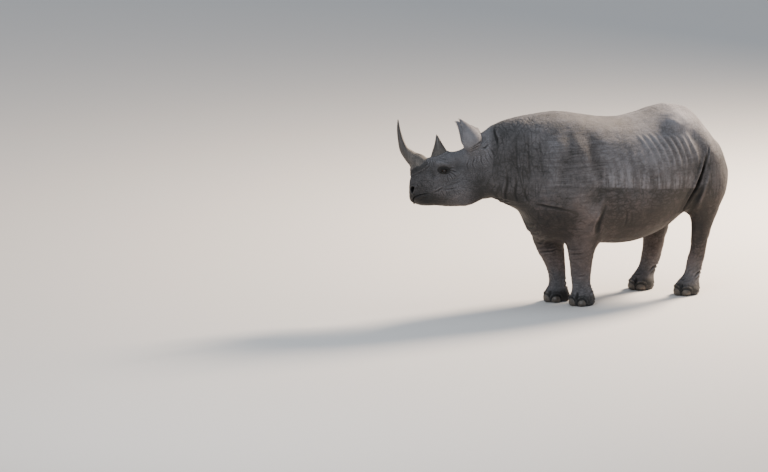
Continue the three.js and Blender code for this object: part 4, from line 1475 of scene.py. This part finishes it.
class Finish:
    """A material and short ways to add nodes to it. A value may be a number, a tuple or a node's output."""

    def __init__(self, name, **settings):
        self.material = bpy.data.materials.new(name)
        self.material.use_nodes = True
        self.tree = self.material.node_tree
        self.shader = self.tree.nodes["Principled BSDF"]
        for key, value in settings.items():
            self.shader.inputs[key.replace("_", " ")].default_value = value
        self.place = self.add("TexCoord").outputs["Object"]

    def add(self, kind, inputs=None, **settings):
        """A node with these settings, and then with values or links at its inputs."""
        node = self.tree.nodes.new("ShaderNode" + kind)
        for key, value in settings.items():
            setattr(node, key, value)
        for key, value in (inputs or {}).items():
            self.put(node.inputs[key], value)
        return node

    def put(self, socket, value):
        if isinstance(value, bpy.types.NodeSocket):
            self.tree.links.new(value, socket)
        else:
            socket.default_value = value

    def chain(self, operation, *values):
        """The values taken together by one operation after another."""
        total = values[0]
        for value in values[1:]:
            total = self.add("Math", {0: total, 1: value}, operation=operation).outputs[0]
        return total

    def plus(self, *terms):
        return self.chain("ADD", *terms)

    def times(self, *factors):
        return self.chain("MULTIPLY", *factors)

    def swing(self, value, amount):
        """How far a value from 0 to 1 is from its middle, times an amount."""
        return self.times(self.chain("SUBTRACT", value, 0.5), amount)

    def scaled(self, scale):
        """The place multiplied along each axis."""
        return self.add("VectorMath", {0: self.place, 1: scale}, operation="MULTIPLY").outputs[0]

    def noise(self, scale, detail=3.0, rough=0.55, place=None, bend=0.0):
        node = self.add("TexNoise", {"Vector": place or self.place, "Scale": scale, "Detail": detail,
                                     "Roughness": rough, "Distortion": bend})
        return node.outputs["Fac"]

    def streaks(self, scale, detail, rough):
        """Noise drawn out along the axes of small scale."""
        return self.noise(1.0, detail, rough, place=self.scaled(scale))

    def cells(self, scale, place=None):
        """How far each point is from the cracks between irregular cells."""
        inputs = {"Vector": place or self.place, "Scale": scale}
        node = self.add("TexVoronoi", inputs, feature="DISTANCE_TO_EDGE")
        return node.outputs["Distance"]

    def range(self, value, low, high, to_low=0.0, to_high=1.0):
        node = self.add("MapRange", {"Value": value, "From Min": low, "From Max": high, "To Min": to_low,
                                     "To Max": to_high}, interpolation_type="SMOOTHSTEP")
        return node.outputs["Result"]

    def ramp(self, value, stops):
        node = self.add("ValToRGB", {"Fac": value})
        band = node.color_ramp
        for index, (place, colour) in enumerate(stops):
            stop = band.elements[index] if index < 2 else band.elements.new(place)
            stop.position, stop.color = place, (*colour, 1)
        return node.outputs["Color"]

    def tinted(self, share, colour, tint):
        """A colour multiplied by a tint, as far as the share says."""
        inputs = {0: share, 6: colour, 7: (*tint, 1)}
        return self.add("Mix", inputs, data_type="RGBA", blend_type="MULTIPLY").outputs[2]

    def read(self, name):
        return self.add("Attribute", attribute_name=name).outputs["Fac"]

    def bump(self, height, distance, strength):
        node = self.add("Bump", {"Height": height, "Distance": distance, "Strength": strength})
        return node.outputs["Normal"]

    def done(self, colour, roughness, normal):
        for name, value in (("Base Color", colour), ("Roughness", roughness), ("Normal", normal)):
            self.put(self.shader.inputs[name], value)
        return self.material


# The drying mud on the flank ends in a level line, where the water stood: (station, height) at two places.
WATER_MARK = ((-0.325, 1.057), (0.92, 0.920))


def between(value, low, high, soft):
    """1 from low to high, and falling to 0 within `soft` on either side."""
    return step(low - soft, low, value) * step(high + soft, high, value)


def water_mark(points, station):
    (first, low), (last, high) = WATER_MARK
    return low + (high - low) * (station - first) / (last - first) + 0.004 * noise(points * 9, 171)


def tone_with_painted_light(points, station, height):
    """How light each region's skin is, beyond its grain: painted light on the back, hip, rump, brow and ears,
    and painted shade on the throat, brisket, belly, chin, round the eyes and before the thigh.
    """
    head = head_part(points)
    ahead, _, up = face_axes(points, 1)
    body = 1 - head
    # Painted light: the top of the back, the upper flank, the hip and the rump are lighter, as if lit from
    # above and behind.
    tone = 0.29 + 0.05 * step(1.22, 1.48, height) * body
    tone += 0.15 * between(station, 0.96, 1.6, 0.20) * step(1.15, 1.42, height)
    tone += 0.09 * between(station, 0.55, 0.90, 0.2) * between(height, 1.18, 1.5, 0.12)
    tone += 0.07 * between(station, 0.15, 0.60, 0.2) * between(height, 1.15, 1.40, 0.10)
    tone -= 0.10 * body * step(-0.36, -0.60, station) * step(1.0, 1.2, height)
    # Painted shade under the throat, on the underside of the brisket and on the belly.
    tone -= 0.18 * body * step(-0.42, -0.62, station) * step(1.12, 0.92, height)
    tone -= 0.06 * between(station, -0.50, -0.24, 0.20) * between(height, 0.55, 0.74, 0.16)
    tone -= 0.10 * body * step(0.95, 0.72, height)
    outside = step(0.12, 0.20, abs(points[:, 1] - SPINE_Y))
    tone += 0.09 * outside * between(station, -0.13, 0.00, 0.06) * between(height, 0.52, 0.84, 0.10)
    tone += 0.11 * step(0.60, 0.30, height)
    tone += 0.05 * between(station, -0.4, 0.2, 0.1) * step(0.85, 0.60, height)
    # Painted shade in the hollow between the flank and the thigh.
    tone -= 0.05 * between(station, 0.90, 1.10, 0.08) * between(height, 0.40, 0.85, 0.12)
    tone += 0.03 * head * noise(points * (26, 26, 34), 174)
    # On the head: painted light on the brow and a darker muzzle; painted shade under the lower lip; darker
    # skin low behind the eye.
    tone += head * (0.12 * step(0.02, 0.10, up) - 0.10 * step(0.08, 0.22, ahead) * step(0.06, -0.04, up))
    tone -= head * 0.21 * step(-0.17, -0.26, up) * step(-0.10, 0.14, ahead)
    tone -= head * 0.12 * step(-0.16, -0.30, ahead) * step(-0.02, -0.16, up)
    # Painted light: the ears a little lighter.
    tone += 0.02 * ear_part(points)
    # Painted shade of the lids round each eye.
    for side in SIDES.values():
        away = points - np.array(in_head(0.004, 0.140 * side, 0.004))
        flat = np.hypot(away @ np.array(HEAD_AHEAD) / 0.038, away[:, 2] / 0.024)
        tone -= 0.58 * step(1.6, 0.6, flat) * head
    return tone


def paint_skin(piece, clay):
    """Shares for the skin's material: tone with painted light and shade, dust, damp, warmth, painted shade in
    the creases, and how far the skin stands out, for wear on raised places and painted shade in hollows.
    """
    points = clay.points
    station = points[:, 0] - STATION_0
    height = points[:, 2]
    head = head_part(points)
    mark = water_mark(points, station)
    trunk = (1 - head) * step(-0.48, -0.25, station) * step(1.08, 0.98, station - (height - mark) * 0.35)
    top = 0.20 + 0.05 * noise(points * (7, 7, 1.2), 173)
    band = trunk * step(-0.007, 0.007, height - mark) * step(top, top * 0.35, height - mark)
    band *= 0.35 + 0.65 * step(0.02, 0.14, station)
    below = trunk * step(0.010, -0.010, height - mark) * step(0.55, 0.75, height)
    # Painted light on raised forms and painted shade in sunken ones.
    relief_light_and_shade = np.clip(clay.crest / 0.010, -1, 1)
    write(piece, "tone", tone_with_painted_light(points, station, height) - 0.03 * below + 0.05 * relief_light_and_shade)
    write(piece, "dust_band", band)
    write(piece, "crease_shade", np.clip(clay.crease_shade, 0, 1.5) / 1.5)
    # Lighter where the skin stands out and darker in its hollows: wear and dust on raised places, painted
    # shade in the hollows.
    curve = ((clay.near.mean(points) - points) * clay.normals).sum(1)
    broad = relaxed(curve, clay.near, 3, back=0)
    write(piece, "wear_and_hollow_shade", np.clip(0.5 - broad / (0.0022 - 0.0013 * head), 0, 1))
    write(piece, "wet", step(0.115, 0.070, height + 0.012 * noise(points * 12, 172)))
    write(piece, "low", step(1.18, 0.55, height) * step(0.10, 0.40, height))
    write(piece, "level_streaks", (1 - head) * between(station, -0.42, 0.10, 0.15) * step(0.85, 1.0, height))


def skin_material():
    """Grey hide with dust, cracks and streaks, and painted light and shade, by the numbers written at each
    vertex.
    """
    skin = Finish("rhino_skin", IOR=1.4)
    crease_shade, wear_and_hollow_shade = skin.read("crease_shade"), skin.read("wear_and_hollow_shade")
    wet, low = skin.read("wet"), skin.read("low")
    broad = skin.noise(2.6, 4.0, 0.6)
    patch = skin.noise(13.0, 5.0, 0.62, bend=0.4)
    grain = skin.noise(95.0, 4.0, 0.65)
    drips = skin.streaks((26.0, 26.0, 2.2), 4.0, 0.62)
    fine_drips = skin.streaks((85.0, 85.0, 7.0), 3.0, 0.6)
    level = skin.streaks((4.0, 4.0, 75.0), 4.0, 0.6)
    plates = skin.cells(62.0, skin.scaled((1.0, 1.0, 0.8)))
    small = skin.cells(165.0)
    crack = skin.range(plates, 0.0, 0.10, 1.0, 0.0)
    fine_crack = skin.range(small, 0.0, 0.12, 1.0, 0.0)

    streaked = skin.range(skin.plus(drips, skin.times(fine_drips, 0.45)), 0.58, 0.86)
    dust = skin.times(skin.read("dust_band"), skin.plus(0.15, skin.times(streaked, 0.85)))
    tone = skin.plus(
        # the regions' tone, with its painted light and shade
        skin.read("tone"),
        skin.swing(broad, 0.30),
        skin.swing(patch, 0.26),
        skin.swing(grain, 0.16),
        skin.times(dust, 0.20),
        # raised places worn lighter, painted shade in the hollows
        skin.swing(wear_and_hollow_shade, 0.34),
        skin.times(skin.read("level_streaks"), skin.swing(level, 0.34)),
        skin.times(wet, -0.20),
        skin.times(crack, -0.035),
        skin.times(fine_crack, -0.02),
        # painted shade in the creases, folds and openings
        skin.times(crease_shade, -0.62),
    )
    grey = skin.ramp(tone, (
        (0.0, (0.005, 0.005, 0.005)), (1.0, (0.47, 0.47, 0.485)), (0.15, (0.022, 0.021, 0.021)),
        (0.32, (0.075, 0.072, 0.076)), (0.56, (0.172, 0.171, 0.186)), (0.78, (0.298, 0.298, 0.318)),
    ))
    warm = skin.plus(low, skin.swing(patch, 1.4))
    colour = skin.tinted(skin.range(warm, 0.0, 1.0), grey, (1.08, 0.89, 0.79))
    rough = skin.range(skin.plus(tone, skin.times(wet, -0.15)), -0.25, 0.5, 0.52, 0.86)
    height = skin.plus(
        skin.times(skin.range(plates, 0.0, 0.16), 0.55), skin.times(skin.range(small, 0.0, 0.2), 0.38),
        skin.times(grain, 0.55), skin.times(patch, 0.8), skin.times(dust, fine_drips, 0.7),
    )
    return skin.done(colour, rough, skin.bump(height, 0.0014, 0.7))


def horn_material():
    """Fibrous horn: streaks up it, and faint level rings."""
    horn = Finish("horn_keratin", IOR=1.5)
    share = horn.read("share")
    fibre = horn.streaks((130.0, 130.0, 9.0), 5.0, 0.65)
    broad = horn.streaks((30.0, 30.0, 5.0), 3.0, 0.5)
    rings = horn.streaks((6.0, 6.0, 120.0), 3.0, 0.6)
    tone = horn.plus(
        0.34, horn.swing(fibre, 0.70), horn.swing(broad, 0.5), horn.swing(rings, 0.22),
        # darker towards the tip; raised fibres lighter than the grooves, partly wear and partly painted shade
        horn.times(share, -0.30), horn.times(horn.read("wear_and_hollow_shade"), 0.25),
    )
    colour = horn.ramp(tone, (
        (0.0, (0.012, 0.010, 0.009)), (1.0, (0.30, 0.26, 0.22)), (0.35, (0.050, 0.044, 0.040)),
        (0.65, (0.120, 0.107, 0.096)),
    ))
    rough = horn.range(share, 0.15, 0.9, 0.72, 0.38)
    height = horn.plus(fibre, horn.times(rings, 0.3))
    return horn.done(colour, rough, horn.bump(height, 0.0010, 0.8))


def nail_material():
    """Nail with level rings of growth, upright fibres and mud."""
    nail = Finish("nail_keratin", IOR=1.5)
    growth = nail.streaks((9.0, 9.0, 150.0), 3.0, 0.6)
    fibre = nail.streaks((160.0, 160.0, 14.0), 4.0, 0.6)
    mud = nail.noise(26.0, 5.0, 0.6)
    tone = nail.plus(0.36, nail.swing(growth, 0.28), nail.swing(fibre, 0.35), nail.swing(mud, 0.8))
    colour = nail.ramp(tone, (
        (0.0, (0.018, 0.014, 0.011)), (1.0, (0.26, 0.22, 0.17)), (0.5, (0.085, 0.070, 0.056)),
    ))
    height = nail.plus(growth, nail.times(fibre, 0.6))
    return nail.done(colour, nail.range(mud, 0.3, 0.7, 0.36, 0.66), nail.bump(height, 0.0008, 0.7))


def eye_material():
    """A dark eye in rings, by the tilt from its gaze."""
    eye = Finish("eye", IOR=1.33, Coat_Weight=0.3, Coat_Roughness=0.04)
    tilt = eye.read("tilt")
    veins = eye.noise(180.0, 4.0, 0.6)
    iris = eye.ramp(eye.plus(tilt, eye.swing(veins, 0.05)), (
        (0.0, (0.002, 0.002, 0.002)), (1.0, (0.030, 0.018, 0.013)), (0.24, (0.003, 0.002, 0.002)),
        (0.28, (0.022, 0.010, 0.005)), (0.54, (0.012, 0.006, 0.004)), (0.62, (0.004, 0.003, 0.002)),
        (0.76, (0.026, 0.017, 0.013)),
    ))
    return eye.done(iris, 0.12, eye.bump(veins, 0.0002, 0.2))


def hair_material():
    hair = Finish("bristle", IOR=1.55)
    tone = hair.plus(hair.times(hair.read("strand"), 0.6), hair.times(hair.read("along"), 0.3),
                     hair.times(hair.noise(200.0), 0.2))
    colour = hair.ramp(tone, ((0.0, (0.008, 0.007, 0.006)), (1.0, (0.050, 0.040, 0.032))))
    return hair.done(colour, 0.5, hair.bump(hair.noise(900.0), 0.0001, 0.3))


# ---- Studio ---------------------------------------------------------------------------------------------


def lamp(name, azimuth, elevation, distance, size, power, colour):
    """A round soft light that faces the animal's middle."""
    light = bpy.data.lights.new(name, "AREA")
    light.shape = "DISK"
    light.size, light.energy, light.color = size, power, colour
    made = bpy.data.objects.new(name, light)
    way = direction(azimuth, elevation)
    made.location = in_body(0.2, 0, 0.8) + way * distance
    made.rotation_euler = way.to_track_quat("Z", "Y").to_euler()
    bpy.context.collection.objects.link(made)


def make_studio():
    """Even light from all round, three lamps and a plain floor."""
    world = bpy.data.worlds.new("studio")
    bpy.context.scene.world = world
    world.use_nodes = True
    backdrop = world.node_tree.nodes["Background"]
    backdrop.inputs["Color"].default_value = (0.83, 0.90, 1.0, 1)
    backdrop.inputs["Strength"].default_value = 0.66
    lamp("fill", CAMERA["azimuth"] - 25, 30, 9, 5, 330, (0.90, 0.95, 1.0))
    lamp("rim", 104, 34, 9, 2.6, 4300, (1.0, 0.80, 0.62))
    lamp("top", 20, 78, 8, 5, 150, (0.86, 0.93, 1.0))
    half = 90.0
    floor = object_from("floor", [(-half, -half, 0), (half, -half, 0), (half, half, 0), (-half, half, 0)],
                        [(0, 1, 2, 3)])
    stone = Finish("floor")
    stone.done((0.60, 0.585, 0.565, 1), 0.85, stone.bump(stone.noise(40.0), 0.0006, 0.2))
    floor.data.materials.append(stone.material)


# ---- Assembly -------------------------------------------------------------------------------------------


def dressed(piece, slot, finish, *nodes):
    """Declares a piece and the nodes it stands for, and gives it its material. The slot is not used."""
    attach(piece, "root")
    if nodes:
        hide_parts(*nodes)
    piece.data.materials.clear()
    piece.data.materials.append(finish)


make_camera()
skin = base_skin()
horns = {name: horn(name) for name in HORNS}
clay = sculpted(skin, [surface_of(piece) for piece in horns.values()])
dressed(skin, "skin", skin_material(), *FLESH, "ear_left", "ear_right", "tail")
at_vertex = unwrap(skin, clay.points, clay.broad)
paint_skin(skin, clay)

horn_finish, nail_finish, eye_finish, hair_finish = (
    horn_material(), nail_material(), eye_material(), hair_material()
)
for name, piece in horns.items():
    dressed(piece, "horn", horn_finish, name)
for side_name in SIDES:
    dressed(eye(side_name), "eye", eye_finish, "eye_" + side_name)
bpy.context.view_layer.update()
skin_tree = BVHTree.FromObject(skin, bpy.context.evaluated_depsgraph_get())
for node in NAILS:
    dressed(nail(node, skin_tree), "nail", nail_finish, node)
for name, strands, nodes in (
    ("ear_fringe_left", ear_hairs("left"), ()), ("ear_fringe_right", ear_hairs("right"), ()),
    ("eyelashes_left", lashes("left", skin_tree), ()), ("eyelashes_right", lashes("right", skin_tree), ()),
    ("tail_bristles", tail_hairs(), ("tail_tuft",)),
):
    piece, roots, strand_of = hairs(name, strands)
    dressed(piece, "hair", hair_finish, *nodes)
    place_tufts(piece, roots, strand_of, skin_tree, skin, at_vertex)

make_studio()
